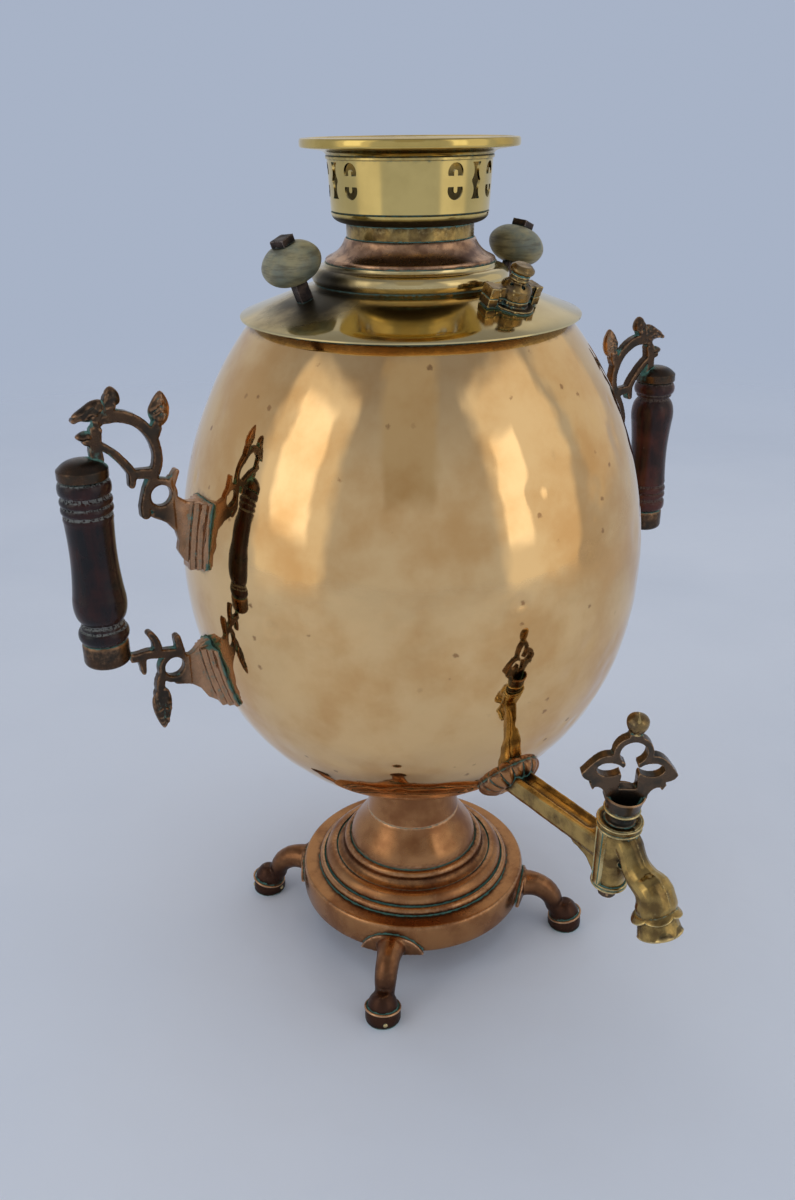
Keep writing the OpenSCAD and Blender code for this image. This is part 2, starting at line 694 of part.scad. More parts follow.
module vent_base() {
    color(brass) on_axis() on_lid(vent_turn, vent_circle_r) difference() {
        union() {
            linear_extrude(height = vent_base_t) vent_outline();
            cylinder(r = 11, h = 1.4);
        }
        translate([0, 0, -1]) cylinder(r = vent_pin_r + solder_gap, h = vent_base_t + 2);
        steam_holes(0);
    }
}

module vent_cap() {
    low = vent_base_t + slip_gap;
    knob_low = low + vent_cap_h - 4;
    color(brass) on_axis() on_lid(vent_turn, vent_circle_r) difference() {
        union() {
            translate([0, 0, low]) linear_extrude(height = vent_cap_t) vent_outline();
            rotate_extrude() polygon(concat(
                [[0, low], [7.6, low], [7.6, low + vent_cap_t]],
                bez([[7.6, low + vent_cap_t], [6.6, low + 7], [5, low + 7.4], [4.2, low + 8]], 6),
                 [[4.8, low + 8.4], [4.8, low + 9.2], [4, low + 9.8], [4.7, low + 10.4],
                  [4.7, low + 10.8], [3.6, knob_low]],
                arc([vent_knob_r - 1.4, knob_low + 1.8], 1.6, -60, 60, 5),
                [[vent_knob_r - 1.6, low + vent_cap_h], [0, low + vent_cap_h]]));
        }
        translate([0, 0, low - 1]) cylinder(r = vent_pin_r + run_gap, h = vent_cap_h - 4);
        translate([0, 0, low - 6]) intersection() {
            steam_holes(-vent_open);
            cylinder(r = 7.4, h = 9 + vent_cap_t);
        }
    }
}

module vent_pin() {
    color(iron) on_axis() on_lid(vent_turn, vent_circle_r) translate([0, 0, -lid_t - 2.4])
        union() {
            cylinder(r = vent_pin_r, h = lid_t + 2.4 + vent_base_t + vent_cap_h - 6);
            cylinder(r = 2.2*vent_pin_r, h = 2.4);
        }
}

// ---- Crown ----

crown_hole_r = tube_top_r + slip_gap;

module crown_collar() {
    color(brass) on_axis() translate([0, 0, crown_z]) difference() {
        cylinder(r = crown_collar_r, h = crown_collar_h);
        translate([0, 0, -1]) cylinder(r = crown_hole_r, h = crown_collar_h + 2);
    }
}

module crown_cup() {
    outer = bez([[crown_collar_r + 0.6, cup_z], [band_low_r - 2.4, cup_z + 0.6],
                 [band_low_r - 0.4, cup_z + 2.4],
                 [band_low_r - 0.2, band_z]], 8);
    color(brass) on_axis() rotate_extrude() polygon(concat(
        [[crown_hole_r, cup_z]], outer,
        [[band_low_r - crown_wall, band_z]],
        flip(inward(bez([[crown_hole_r + crown_wall, cup_z + crown_wall],
                         [band_low_r - 2.6, cup_z + crown_wall + 0.6],
                         [band_low_r - 0.8, cup_z + 3.4], [band_low_r - 0.2, band_z - 0.6]],
                         6), crown_wall))));
}

// The group's middle slot, left between the rims of the round piercings
module slot_shape() {
    difference() {
        square([6.8, 14.4], center = true);
        for (x = [-1, 1], y = [-1, 1]) translate([x*(pierce_r + 3.1), 4.3*y]) circle(r = pierce_r + 1.3);
        for (y = [-1, 1]) translate([0, 8.8*y]) circle(r = 2.2, $fn = 32);
    }
}

// A round piercing cut off towards the middle, where a tongue reaches into it
module eye_shape() {
    for (flip_y = [0, 1]) mirror([0, flip_y]) difference() {
        translate([0, 2.9]) circle(r = pierce_r);
        translate([-6, -6]) square([12, 7.1]);
        translate([-1.4, 0]) square([2.8, 3]);
        translate([0, 3]) circle(r = 1.4, $fn = 32);
    }
}

module crown_band() {
    mid_z = band_z + 0.565*band_h;
    spread = 19.5;
    color(brass) on_axis() difference() {
        translate([0, 0, band_z]) cylinder(r1 = band_low_r, r2 = band_top_r, h = band_h);
        translate([0, 0, band_z - 0.01])
            cylinder(r1 = band_low_r - crown_wall, r2 = band_top_r - crown_wall, h = band_h + 0.02);
        for (group = [0:2]) rotate([0, 0, pierce_turn + 120*group - 90]) {
            translate([0, 0, mid_z]) rotate([90, 0, 90]) linear_extrude(height = crown_r) slot_shape();
            for (side = [-1, 1]) rotate([0, 0, side*spread])
                translate([0, 0, mid_z]) rotate([90, 0, 90]) linear_extrude(height = crown_r) eye_shape();
        }
    }
}

module crown_flare() {
    top = crown_top_z;
    outer = concat(
        [[band_top_r + 0.3, flare_z], [band_top_r + 0.3, flare_z + 1.4]],
        bez([[band_top_r + 0.7, flare_z + 2], [band_top_r + 1.4, flare_z + 6],
             [crown_r - 7, top - rim_h - 0.6],
             [crown_r - 2, top - rim_h]], 8),
        [[crown_r, top - rim_h + 0.4], [crown_r, top - 0.6], [crown_r - 0.6, top],
         [crown_r - rim_w - 0.6, top]]);
    inner = concat(
        bez([[crown_r - rim_w - 1, top - 0.6], [crown_r - 8, top - 1.4], [band_top_r, flare_z + 8],
             [band_top_r - crown_wall, flare_z + 3]], 8),
        [[band_top_r - crown_wall, flare_z]]);
    color(brass) on_axis() rotate_extrude() polygon(concat(outer, inner));
}

// ---- Handles ----

// Turns its children into a handle's own plane: X from the grip's axis outwards, Z up
module handle_frame(side) {
    on_axis() rotate([0, 0, side*90 + handle_turn - 90]) translate([grip_axis_r, 0, 0]) children();
}

// Scrollwork, drawn as distance from the grip's axis and height above the grip's middle
module scroll(side, thick) {
    handle_frame(side) translate([0, 0, grip_mid_z]) rotate([90, 0, 0])
        linear_extrude(height = thick, center = true) children();
}

cap_low = grip_l/2 + grip_gap;
cap_top = cap_low + cap_edge_h + cap_dome_h;
ferrule_top = -grip_l/2 - grip_gap;
upper_eye = [-35, 26.6];
lower_eye = [-32.5, -64];

module upper_scrolls() {
    // Stem on the cap, beak and crest
    ribbon([[-7.4, cap_top - 5], [-6.8, cap_top + 3], [-8, 62]], 5.4, 4.6);
    ribbon(bez([[-12, 68.4], [-7, 71], [-3, 69.6], [1.4, 67.4]], 6), 6.4, 1.4);
    ribbon([[-14, 69.6], [-16.2, 75.2]], 5.6, 5.2);
    // Arch from the crest over to the eye
    ribbon(bez([[-9.6, 67], [-22, 70], [-36, 61], [-35.4, 45]], 12), 5.4, 3.6);
    ribbon(concat(bez([[-35.4, 45], [-35, 38], [-29.6, 34], [-27.8, 27]], 6), [[-26.6, 22.4], [-26.6, 18.6]]),
           3.8, 3.9);
    // Leaf standing on the arch
    ribbon([[-35, 56.6], [-38, 64], [-39, 71.6]], 4.5, 2);
    translate([-37.8, 65]) circle(r = 2.8, $fn = 24);
    // Branch from the stem to the middle of the scroll
    ribbon(bez([[-3, 57.4], [-10, 56.6], [-18, 48], [-22.6, 39.6]], 8), 2.4, 3.4);
    ribbon([[-22.6, 39.6], [-21.6, 34]], 3.6, 2.4);
    ribbon([[-23.4, 39], [-32, 38]], 3.6, 4.4);
    // Ring round the eye, its spur and the neck to the pad
    translate(upper_eye) circle(r = eye_r + 2.6);
    ribbon([[-39.6, 30], [-43.6, 37]], 4.6, 2.6);
    polygon([[-28.4, 18], [-36.4, 13], [-40.4, 8], [-41.6, 2], [-40.6, -2.6], [-43, -8],
             [-47, -11.4], [-50, -13],
             [-70, -13], [-70, 19.6], [-54, 20.6], [-47, 21.4], [-43, 24.6], [-33, 20]]);
}

module lower_scrolls() {
    ribbon(bez([[1 - ferrule_r, -53], [-13.6, -55.6], [-18, -52.6], [-24, -54.6]], 8), 3.8, 4);
    // Two spurs up, one spike down
    ribbon(bez([[-24.6, -53.6], [-25.4, -49], [-23.6, -45], [-21.6, -43]], 5), 3.8, 2.4);
    ribbon([[-36.6, -58], [-35.4, -48.6]], 3.8, 2.6);
    ribbon([[-16.4, -55], [-16.6, -63]], 3.4, 1.6);
    translate(lower_eye) circle(r = eye_r + 2.6);
    ribbon([[-23.6, -54.4], [-36, -57]], 3.4, 4);
    // Leaf hanging from the ring
    ribbon(bez([[-27, -66], [-23.6, -70], [-23.6, -74], [-24.6, -78]], 5), 3.6, 4);
    ribbon([[-24.6, -78], [-25.6, -87], [-25, -93.6]], 7, 2.2);
    polygon([[-34, -58.6], [-39.8, -60], [-43.4, -58.4], [-47.4, -54.4], [-53, -53], [-70, -57],
             [-80, -93], [-62, -94],
             [-56, -91.4], [-49, -86.6], [-45.4, -80.4], [-39.8, -75.6], [-32.4, -73.6], [-30, -70]]);
}

// A pad is stepped like a moulding, thickest at the scrollwork, and bent to the vessel
module pad(side, low, high) {
    steps = [[pad_w, 2.4], [pad_w - 6, 4.6], [pad_w - 11, 7]];
    handle_frame(side) for (s = steps) intersection() {
        translate([-grip_axis_r, 0, 0]) egg_solid(s[1]);
        translate([-handle_reach - 40, -s[0]/2, grip_mid_z + low]) cube([80, s[0], high - low]);
    }
}

module upper_bracket(side) {
    color(copper) difference() {
        union() {
            scroll(side, bracket_t) upper_scrolls();
            pad(side, -13, 20.5);
        }
        scroll(side, 2*bracket_t) translate(upper_eye) circle(r = eye_r);
        on_axis() egg_solid(solder_gap);
        handle_frame(side) cylinder(r = cap_r + 5, h = grip_mid_z + cap_low + 2);
        handle_frame(side) translate([0, 0, grip_mid_z]) cap_solid(solder_gap);
    }
}

module lower_bracket(side) {
    color(copper) difference() {
        union() {
            scroll(side, bracket_t) lower_scrolls();
            pad(side, -92, -57);
        }
        scroll(side, 2*bracket_t) translate(lower_eye) circle(r = eye_r);
        on_axis() egg_solid(solder_gap);
        handle_frame(side) cylinder(r = ferrule_r + solder_gap, h = grip_mid_z + ferrule_top + 1);
    }
}

module cap_solid(gap = 0) {
    rotate_extrude() polygon(concat(
        [[0, cap_low], [cap_r + gap, cap_low], [cap_r + gap, cap_low + cap_edge_h]],
        bez([[cap_r + gap, cap_low + cap_edge_h + gap], [cap_r*0.72, cap_low + cap_edge_h + cap_dome_h*0.7],
             [5, cap_top + gap], [0, cap_top + gap]], 8)));
}

module handle_cap(side) {
    color(copper) handle_frame(side) translate([0, 0, grip_mid_z]) difference() {
        cap_solid();
        translate([0, 0, cap_low - 1]) cylinder(r = spindle_r + solder_gap, h = cap_edge_h + 1);
    }
}

module ferrule(side) {
    color(copper) handle_frame(side) translate([0, 0, grip_mid_z + ferrule_top - ferrule_h]) difference() {
        rotate_extrude() polygon(concat(
            [[0, 0], [ferrule_r - 2.4, 0]], arc([ferrule_r - 2.4, 2.4], 2.4, -90, 0, 6),
            [[ferrule_r, ferrule_h], [0, ferrule_h]]));
        translate([0, 0, ferrule_h - 8]) cylinder(r = spindle_r + solder_gap, h = 10);
    }
}

// The grip's outline, from its ringed end to its swollen end
grip_outline = concat(
    bez([[grip_r - 2.4, 0], [grip_r - 0.8, 0.4], [grip_r - 0.4, 3], [grip_r - 0.9, 6]], 5),
    [[grip_r - 2, 6.8], [grip_r - 2, 7.6], [grip_r - 0.7, 8.4], [grip_r - 0.7, 11], [grip_r - 1.3, 11.6]],
    bez([[grip_r - 1.3, 11.6], [grip_r - 0.4, 12.4], [grip_r - 0.4, 14.6], [grip_r - 1.4, 15.4]], 4),
    [[grip_r - 1.9, 16], [grip_r - 1.2, 16.6], [grip_r - 1.2, 18.6]],
    bez([[grip_r - 1.5, 19], [grip_r - 2.6, 36], [grip_r - 2, 44], [grip_r - 0.6, grip_l - 24]], 8),
    bez([[grip_r - 0.6, grip_l - 24], [grip_r + 0.4, grip_l - 19], [grip_r - 0.2, grip_l - 13],
         [grip_r - 3, grip_l - 10.4]], 8),
    [[grip_r - 3.4, grip_l - 9.4], [grip_r - 2.6, grip_l - 8.6], [grip_r - 2.4, grip_l - 7.2],
     [grip_r - 2, grip_l - 6.6]],
    bez([[grip_r - 1.4, grip_l - 6.4], [grip_r - 0.6, grip_l - 5], [grip_r - 0.6, grip_l - 1.6],
         [grip_r - 2, grip_l]], 6));

module grip(side) {
    // The left grip has its ringed end up, the right one its swollen end
    color(dark_wood) handle_frame(side) translate([0, 0, side < 0 ? grip_top_z : grip_low_z])
        rotate([side < 0 ? 180 : 0, 0, 0]) difference() {
            rotate_extrude() polygon(concat([[0, 0]], grip_outline, [[0, grip_l]]));
            translate([0, 0, -1]) cylinder(r = spindle_r + run_gap, h = grip_l + 2);
        }
}

module spindle(side) {
    low = ferrule_top - 8;
    color(iron) handle_frame(side) translate([0, 0, grip_mid_z + low])
        cylinder(r = spindle_r, h = cap_low + cap_edge_h - low);
}

// ---- Tap ----

// X outwards along the tap, Z up, with the origin where the plug's axis meets the tap's axis
module tap_frame() {
    on_axis() rotate([0, 0, -90]) translate([plug_reach, 0, tap_z]) children();
}

module lean_frame() {
    tap_frame() rotate([0, tap_lean, 0]) children();
}

module arm_solid(gap = 0) {
    w = arm_w/2 + gap;
    h = arm_h/2 + gap;
    translate([-tap_l - 25, 0, 0]) rotate([90, 0, 90]) linear_extrude(height = tap_l + 25) polygon([
        [-w + 2.4, -h], [w - 2.4, -h], [w, -h + 3.4], [w, h - 2],
        [w - 1.6, h], [-w + 1.6, h], [-w, h - 2], [-w, -h + 3.4]]);
}

module tap_rosette() {
    at = egg_at(tap_z);
    fall = atan(egg_slope(tap_z));
    color(copper) on_axis() difference() {
        rotate([0, 0, -90]) translate([at, 0, tap_z]) rotate([0, 90 + fall, 0]) rotate_extrude()
            polygon(concat([[0, -12], [rosette_r - 2, -12], [rosette_r, 0]],
                bez([[rosette_r, 1], [rosette_r - 1, rosette_h*0.6], [rosette_r - 6, rosette_h],
                     [9, rosette_h]], 8),
                [[0, rosette_h]]));
        egg_solid(solder_gap);
        rotate([0, 0, -90]) translate([plug_reach, 0, tap_z]) arm_solid(solder_gap);
    }
}

module tap_body() {
    n = len(tap_path) - 1;
    bend = [22, -4];
    color(tap_brass) difference() {
        union() {
            tap_frame() arm_solid();
            // The arm deepens where it meets the housing
            tap_frame() rotate([90, 0, 0]) linear_extrude(height = arm_w - 2.4, center = true)
                polygon(concat([[-24, -arm_h/2 + 0.5]],
                    bez([[-24, -arm_h/2], [-14, -arm_h/2 - 0.6], [-10, -arm_h/2 - 5],
                         [-8.4, 3 - housing_down]], 6),
                    [[0, 3 - housing_down], [0, 0]]));
            lean_frame() translate([0, 0, -housing_down]) {
                cylinder(r1 = housing_low_r, r2 = housing_top_r, h = housing_down + housing_up);
                cylinder(r = housing_low_r + 1, h = 2);
                translate([0, 0, housing_down + housing_up - 4]) cylinder(r = housing_top_r + 0.7, h = 4);
            }
            tap_frame() swept(tap_path, along(tap_path, tap_depth_sizes), along(tap_path, tap_width_sizes));
        }
        // Tapered seat for the plug
        lean_frame() translate([0, 0, -housing_down - 1])
            cylinder(r1 = plug_low_r + run_gap, r2 = plug_top_r + run_gap, h = housing_down + housing_up + 2);
        // Water channel: along the arm, out of the housing and down the spout
        tap_frame() translate([-tap_l - 30, 0, 0]) rotate([0, 90, 0]) cylinder(r = channel_r, h = tap_l + 30);
        tap_frame() rotate([0, 90 + atan(-bend[1]/bend[0]), 0]) cylinder(r = channel_r, h = norm(bend));
        tap_frame() translate([bend[0], 0, bend[1]]) sphere(r = channel_r + 0.4);
        tap_frame() translate([bend[0], 0, bend[1]])
            rotate([0, 180 - atan((outlet_mouth[0] - bend[0])/(bend[1] - outlet_mouth[1])), 0])
                cylinder(r = channel_r, h = norm(outlet_mouth - bend) - 4);
        tap_frame() translate([outlet_mouth[0], 0, outlet_mouth[1]]) rotate([0, -outlet_lean, 0])
            translate([0, 0, -6]) cylinder(r = outlet_r, h = outlet_l + 6);
        on_axis() egg_solid(solder_gap);
    }
}

plug_down = housing_down + 6.8;
washer_t = 1.6;
cup_low = housing_up + 4.6;
key_mid = housing_up + 28.8;

module tap_plug() {
    taper = (plug_top_r - plug_low_r)/(housing_up + housing_down);
    color(dark_bronze) lean_frame() difference() {
        union() {
            translate([0, 0, -housing_down])
                cylinder(r1 = plug_low_r, r2 = plug_top_r, h = housing_up + housing_down);
            translate([0, 0, -plug_down]) cylinder(r = plug_low_r - 0.8, h = plug_down - housing_down + 1);
            rotate_extrude() polygon(concat(
                [[0, housing_up - 1], [plug_top_r - taper, housing_up - 1], [plug_top_r, housing_up],
                 [5.6, housing_up + 0.8], [5, cup_low - 1.4]],
                bez([[5, cup_low - 1.4], [6, cup_low - 0.8], [8.4, cup_low], [8.4, cup_low + 1.4]], 5),
                [[8, cup_low + 2.6], [0, cup_low + 2.6]]));
        }
        rotate([0, 0, port_turn]) rotate([0, 90, 0]) cylinder(r = port_r, h = 40, center = true);
    }
}

module plug_washer() {
    color(dark_bronze) lean_frame() translate([0, 0, -housing_down - slip_gap - washer_t]) difference() {
        cylinder(r = housing_low_r - 0.6, h = washer_t);
        translate([0, 0, -1]) cylinder(r = plug_low_r - 0.8 + solder_gap, h = washer_t + 2);
    }
}

// The key, drawn as width and height from the middle of its trefoil
module key_outline() {
    ring_r = lobe_hole_r + key_bar;
    foot_low = cup_low + 2.6 - key_mid;
    // Seat of the ball, ring, shoulder, beak, spur and foot
    side = concat(
        [[3, lobe_rise + ring_r + 1], [3.1, lobe_rise + ring_r - 0.5]],
        arc([0, lobe_rise], ring_r, 66, -4, 9),
        bez([[ring_r, lobe_rise - 1.2], [15, lobe_rise - 1], [17.4, lobe_rise - 5], [key_half_w, -1.6]], 7),
        bez([[key_half_w, -1.6], [key_half_w - 0.6, -4], [key_half_w - 3, -5.6],
             [key_half_w - 5.4, -5.6]], 4),
        [[key_half_w - 4.6, -7.4], [key_half_w - 6.2, -10.6], [key_half_w - 7.4, -8.8]],
        bez([[key_half_w - 7.4, -8.8], [key_half_w - 11, -8.6], [9.6, -12.6], [9.8, -15.6]], 6),
        [[7.4, foot_low]]);
    side_hole = concat(
        bez([[3, 0.8], [5, 5.8], [15, 6.2], [15.8, 1]], 8),
        bez([[15.8, 1], [14, -4.6], [6, -3.6], [3, 0.8]], 8));
    mid_hole = [[2.9, lobe_rise - 4], [2.9, 3], [5, 1], [3.8, -2.4], [4.2, -9.8]];
    difference() {
        polygon(concat(side, flip(mirrored(side))));
        translate([0, lobe_rise]) circle(r = lobe_hole_r);
        polygon(side_hole);
        polygon(mirrored(side_hole));
        polygon(concat(mid_hole, flip(mirrored(mid_hole))));
    }
}

module tap_key() {
    color(dark_bronze) lean_frame() rotate([0, 0, key_turn]) rotate([90, 0, 0])
        translate([0, key_mid]) linear_extrude(height = key_t, center = true) key_outline();
}

module key_ball() {
    seat = key_mid + lobe_rise + lobe_hole_r + key_bar + 1;
    color(tap_brass) lean_frame() rotate_extrude() polygon(concat(
        [[0, seat], [2.6, seat]],
        bez([[2.6, seat], [key_ball_r - 0.8, seat + 1.4], [key_ball_r + 0.5, seat + 4.4],
             [key_ball_r, seat + 6.6]], 8),
        bez([[key_ball_r, seat + 6.6], [key_ball_r - 0.6, seat + 9], [2.4, seat + 9.6],
             [0.01, seat + 9.6]], 6),
        [[0, seat + 9.6]]));
}

// ---- The nodes ----

foot(-45);  // foot_front_left
foot(45);  // foot_front_right
foot(-135);  // foot_rear_left
foot(135);  // foot_rear_right
base_disc();
base_rings();
pedestal_bell();
pedestal_neck();
shell_bottom();
shell_lower();
shell_upper();
shell_top();
mouth_ring();
fire_tube();
grate();
lid_disc();
lid_collar();
lid_bearing_ring();
knob(-90 + handle_turn);  // knob_left
knob(90 + handle_turn);  // knob_right
knob_bolt(-90 + handle_turn);  // knob_bolt_left
knob_bolt(90 + handle_turn);  // knob_bolt_right
knob_nut(-90 + handle_turn);  // knob_nut_left
knob_nut(90 + handle_turn);  // knob_nut_right
vent_base();
vent_cap();
vent_pin();
crown_flare();
crown_band();
crown_cup();
crown_collar();
upper_bracket(-1);  // upper_bracket_left
upper_bracket(1);  // upper_bracket_right
lower_bracket(-1);  // lower_bracket_left
lower_bracket(1);  // lower_bracket_right
handle_cap(-1);  // handle_cap_left
handle_cap(1);  // handle_cap_right
ferrule(-1);  // ferrule_left
ferrule(1);  // ferrule_right
grip(-1);  // grip_left
grip(1);  // grip_right
spindle(-1);  // spindle_left
spindle(1);  // spindle_right
tap_rosette();
tap_body();
tap_plug();
tap_key();
key_ball();
plug_washer();
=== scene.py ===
import random
import math

import bmesh
import bpy
from mathutils import Matrix, Vector, noise


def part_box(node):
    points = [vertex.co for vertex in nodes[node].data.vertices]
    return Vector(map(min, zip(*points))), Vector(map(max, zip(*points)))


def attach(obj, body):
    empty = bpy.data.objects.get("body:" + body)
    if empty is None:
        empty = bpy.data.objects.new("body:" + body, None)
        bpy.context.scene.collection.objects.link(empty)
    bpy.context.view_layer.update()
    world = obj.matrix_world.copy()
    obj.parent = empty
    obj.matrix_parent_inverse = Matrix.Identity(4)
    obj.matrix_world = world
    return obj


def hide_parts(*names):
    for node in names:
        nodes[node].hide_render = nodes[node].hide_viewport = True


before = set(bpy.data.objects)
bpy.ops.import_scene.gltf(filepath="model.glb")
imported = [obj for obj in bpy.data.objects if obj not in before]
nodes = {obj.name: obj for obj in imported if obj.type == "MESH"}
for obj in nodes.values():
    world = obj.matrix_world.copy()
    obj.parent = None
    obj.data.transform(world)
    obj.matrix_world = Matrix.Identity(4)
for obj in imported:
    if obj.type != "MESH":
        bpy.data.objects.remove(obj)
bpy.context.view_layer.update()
print("frame: %d nodes" % len(nodes))

mm = 0.001
driftDepth = 0.12  # millimetres, on every cast surface
scene = bpy.context.scene
discLow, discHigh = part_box("base_disc")
axisY = (discLow[1] + discHigh[1])/2  # the vessel's own axis stands behind the origin
shellCourses = [name for name in nodes if "shell" in name]
vesselAxis = Matrix.Translation((0, axisY, 0))


# ---- Places, lines and meshes ----

def moved(x, y, z):
    return Matrix.Translation((x*mm, y*mm, z*mm))


def spun(axis, degrees):
    return Matrix.Rotation(math.radians(degrees), 4, axis)


def outAndAcross(a):
    return Vector((math.sin(a), -math.cos(a), 0)), Vector((math.cos(a), math.sin(a), 0))


def bez(a, b, c, d, count):
    points = []
    for i in range(count + 1):
        t = i/count
        u = 1 - t
        points.append(tuple(a[k]*u**3 + 3*b[k]*u*u*t + 3*c[k]*u*t*t + d[k]*t**3 for k in range(len(a))))
    return points


def traced(*rows, at=(0, 0)):
    # An outline of points and of curves (four points and a count), counted from a place
    points = []
    for row in rows:
        if isinstance(row[0], tuple):
            points += bez(*[(at[0] + r, at[1] + z) for r, z in row[:4]], row[4])
        else:
            points.append((at[0] + row[0], at[1] + row[1]))
    return points


def arc(centre, radius, start, end, count):
    angles = [math.radians(start + (end - start)*i/count) for i in range(count + 1)]
    return [(centre[0] + radius*math.cos(a), centre[1] + radius*math.sin(a)) for a in angles]


def rounded(points, radius, closed=True, count=3):
    # Corners of an outline replaced by short curves
    out = []
    last = len(points) - 1
    for i, point in enumerate(points):
        if not closed and i in (0, last):
            out.append(point)
            continue
        here = Vector(point)
        before = Vector(points[i - 1]) - here
        after = Vector(points[(i + 1) % len(points)]) - here
        if before.length < 1e-6 or after.length < 1e-6:
            continue
        if before.angle(-after) < math.radians(24):
            out.append(point)
            continue
        a = here + before.normalized()*min(radius, before.length*0.45)
        b = here + after.normalized()*min(radius, after.length*0.45)
        for k in range(count + 1):
            t = k/count
            out.append(tuple(a*(1 - t)**2 + here*2*t*(1 - t) + b*t*t))
    return out


def newMesh(name, verts, faces):
    mesh = bpy.data.meshes.new(name)
    mesh.from_pydata(verts, [], faces)
    mesh.update()
    obj = bpy.data.objects.new(name, mesh)
    scene.collection.objects.link(obj)
    return obj


def sheetOf(name, half):
    corners = [(-half, -half, 0), (half, -half, 0), (half, half, 0), (-half, half, 0)]
    return newMesh(name, corners, [(0, 1, 2, 3)])


def shade(obj, sharp=38):
    obj.data.shade_smooth()
    obj.data.set_sharp_from_angle(angle=math.radians(sharp))


def reworked(obj, action):
    work = bmesh.new()
    work.from_mesh(obj.data)
    action(work)
    work.to_mesh(obj.data)
    work.free()


def facingOut(obj):
    reworked(obj, lambda work: bmesh.ops.recalc_face_normals(work, faces=work.faces))


def turned(name, outline, sides=192, place=None, shape=None):
    # A turned piece: outline is (radius, height) in millimetres, closed unless it starts and ends on the axis
    place = place or vesselAxis
    onAxis = outline[0][0] < 1e-6 and outline[-1][0] < 1e-6
    verts, rings = [], []
    for r, z in outline:
        if r < 1e-6:
            rings.append([len(verts)])
            verts.append(place @ Vector((0, 0, z*mm)))
            continue
        rings.append(list(range(len(verts), len(verts) + sides)))
        for k in range(sides):
            a = 2*math.pi*k/sides
            rr, zz = shape(a, r, z) if shape else (r, z)
            verts.append(place @ Vector((rr*mm*math.cos(a), rr*mm*math.sin(a), zz*mm)))
    faces = []
    count = len(rings)
    for i in range(count - 1 if onAxis else count):
        low, high = rings[i], rings[(i + 1) % count]
        for k in range(sides):
            k2 = (k + 1) % sides
            if len(low) == 1 and len(high) == 1:
                break
            if len(low) == 1:
                faces.append((low[0], high[k2], high[k]))
            elif len(high) == 1:
                faces.append((low[k], low[k2], high[0]))
            else:
                faces.append((low[k], low[k2], high[k2], high[k]))
    obj = newMesh(name, verts, faces)
    facingOut(obj)
    shade(obj)
    return obj


def applied(obj):
    graph = bpy.context.evaluated_depsgraph_get()
    mesh = bpy.data.meshes.new_from_object(obj.evaluated_get(graph))
    obj.modifiers.clear()
    obj.data = mesh
    return obj


def cast(name, node, grain, passes, sculpt=None):
    # A cast piece: the node's own solid, remeshed fine, worked point by point and smoothed round its edges
    obj = bpy.data.objects.new(name, nodes[node].data.copy())
    scene.collection.objects.link(obj)
    remesh = obj.modifiers.new("remesh", "REMESH")
    remesh.mode = "VOXEL"
    remesh.voxel_size = grain*mm
    applied(obj)
    if sculpt:
        for v in obj.data.vertices:
            v.co = sculpt(v.co)
    smooth = obj.modifiers.new("smooth", "SMOOTH")
    smooth.factor = 0.5
    smooth.iterations = passes
    applied(obj)
    obj.data.shade_smooth()
    return obj


def castDrift(co, rate, *shifts):
    # The small unevenness of a cast surface along X, Y and Z; None leaves a direction still
    parts = [0 if shift is None else noise.noise(co*rate + Vector(shift)) for shift in shifts]
    return Vector(parts)*driftDepth*mm


def roundNoise(a, z, turns, pitch, shift=0.0):
    return noise.noise(Vector((math.cos(a)*turns + shift, math.sin(a)*turns, z/pitch)))


def fit(obj, body, slot, look, *replaced):
    obj.data.materials.clear()
    obj.data.materials.append(finish[look])
    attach(obj, body)
    if replaced:
        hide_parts(*replaced)
    return obj


def dress(look, *names):
    for name in names:
        mesh = nodes[name].data
        mesh.materials.clear()
        mesh.materials.append(finish[look])


# ---- Camera ----

camera = {
    "place": (-314.5, -412.3, 470.5),  # millimetres
    "turn": -33.779,
    "down": 24.415,
    "roll": -0.607,
    "lens": 31.93,
}
viewTurn = math.radians(-33.5)  # the photograph's own front against the tap's direction

lens = bpy.data.cameras.new("camera")
lens.lens = camera["lens"]
lens.sensor_width = 36
lens.clip_start = 0.05
eye = bpy.data.objects.new("camera", lens)
scene.collection.objects.link(eye)
eye.matrix_world = (Matrix.Translation(Vector(camera["place"])*mm) @ spun("Z", camera["turn"])
                    @ spun("X", 90 - camera["down"]) @ spun("Z", camera["roll"]))
scene.camera = eye
scene.view_settings.view_transform = "Standard"


# ---- Node helpers ----

def addNode(tree, kind, **values):
    made = tree.nodes.new(kind)
    for key, value in values.items():
        setattr(made, key, value)
    return made


def feed(source, target):
    # A socket is linked, a number or a colour is written in
    if isinstance(source, bpy.types.NodeSocket):
        target.id_data.links.new(source, target)
    else:
        target.default_value = (*source, 1) if isinstance(source, tuple) else source


def calc(operation, a, b=0.0, clamp=False):
    tree = next(part for part in (a, b) if isinstance(part, bpy.types.NodeSocket)).id_data
    made = addNode(tree, "ShaderNodeMath", operation=operation, use_clamp=clamp)
    feed(a, made.inputs[0])
    feed(b, made.inputs[1])
    return made.outputs[0]


def plus(a, b, clamp=False):
    return calc("ADD", a, b, clamp)


def minus(a, b):
    return calc("SUBTRACT", a, b)


def times(a, b, clamp=False):
    return calc("MULTIPLY", a, b, clamp)


def blended(factor, a, b):
    made = addNode(factor.id_data, "ShaderNodeMix", data_type="RGBA")
    for index, source in ((0, factor), (6, a), (7, b)):
        feed(source, made.inputs[index])
    return made.outputs[2]


def ranged(value, low, high):
    made = addNode(value.id_data, "ShaderNodeMapRange", interpolation_type="SMOOTHSTEP")
    for index, source in enumerate((value, low, high)):
        feed(source, made.inputs[index])
    return made.outputs[0]


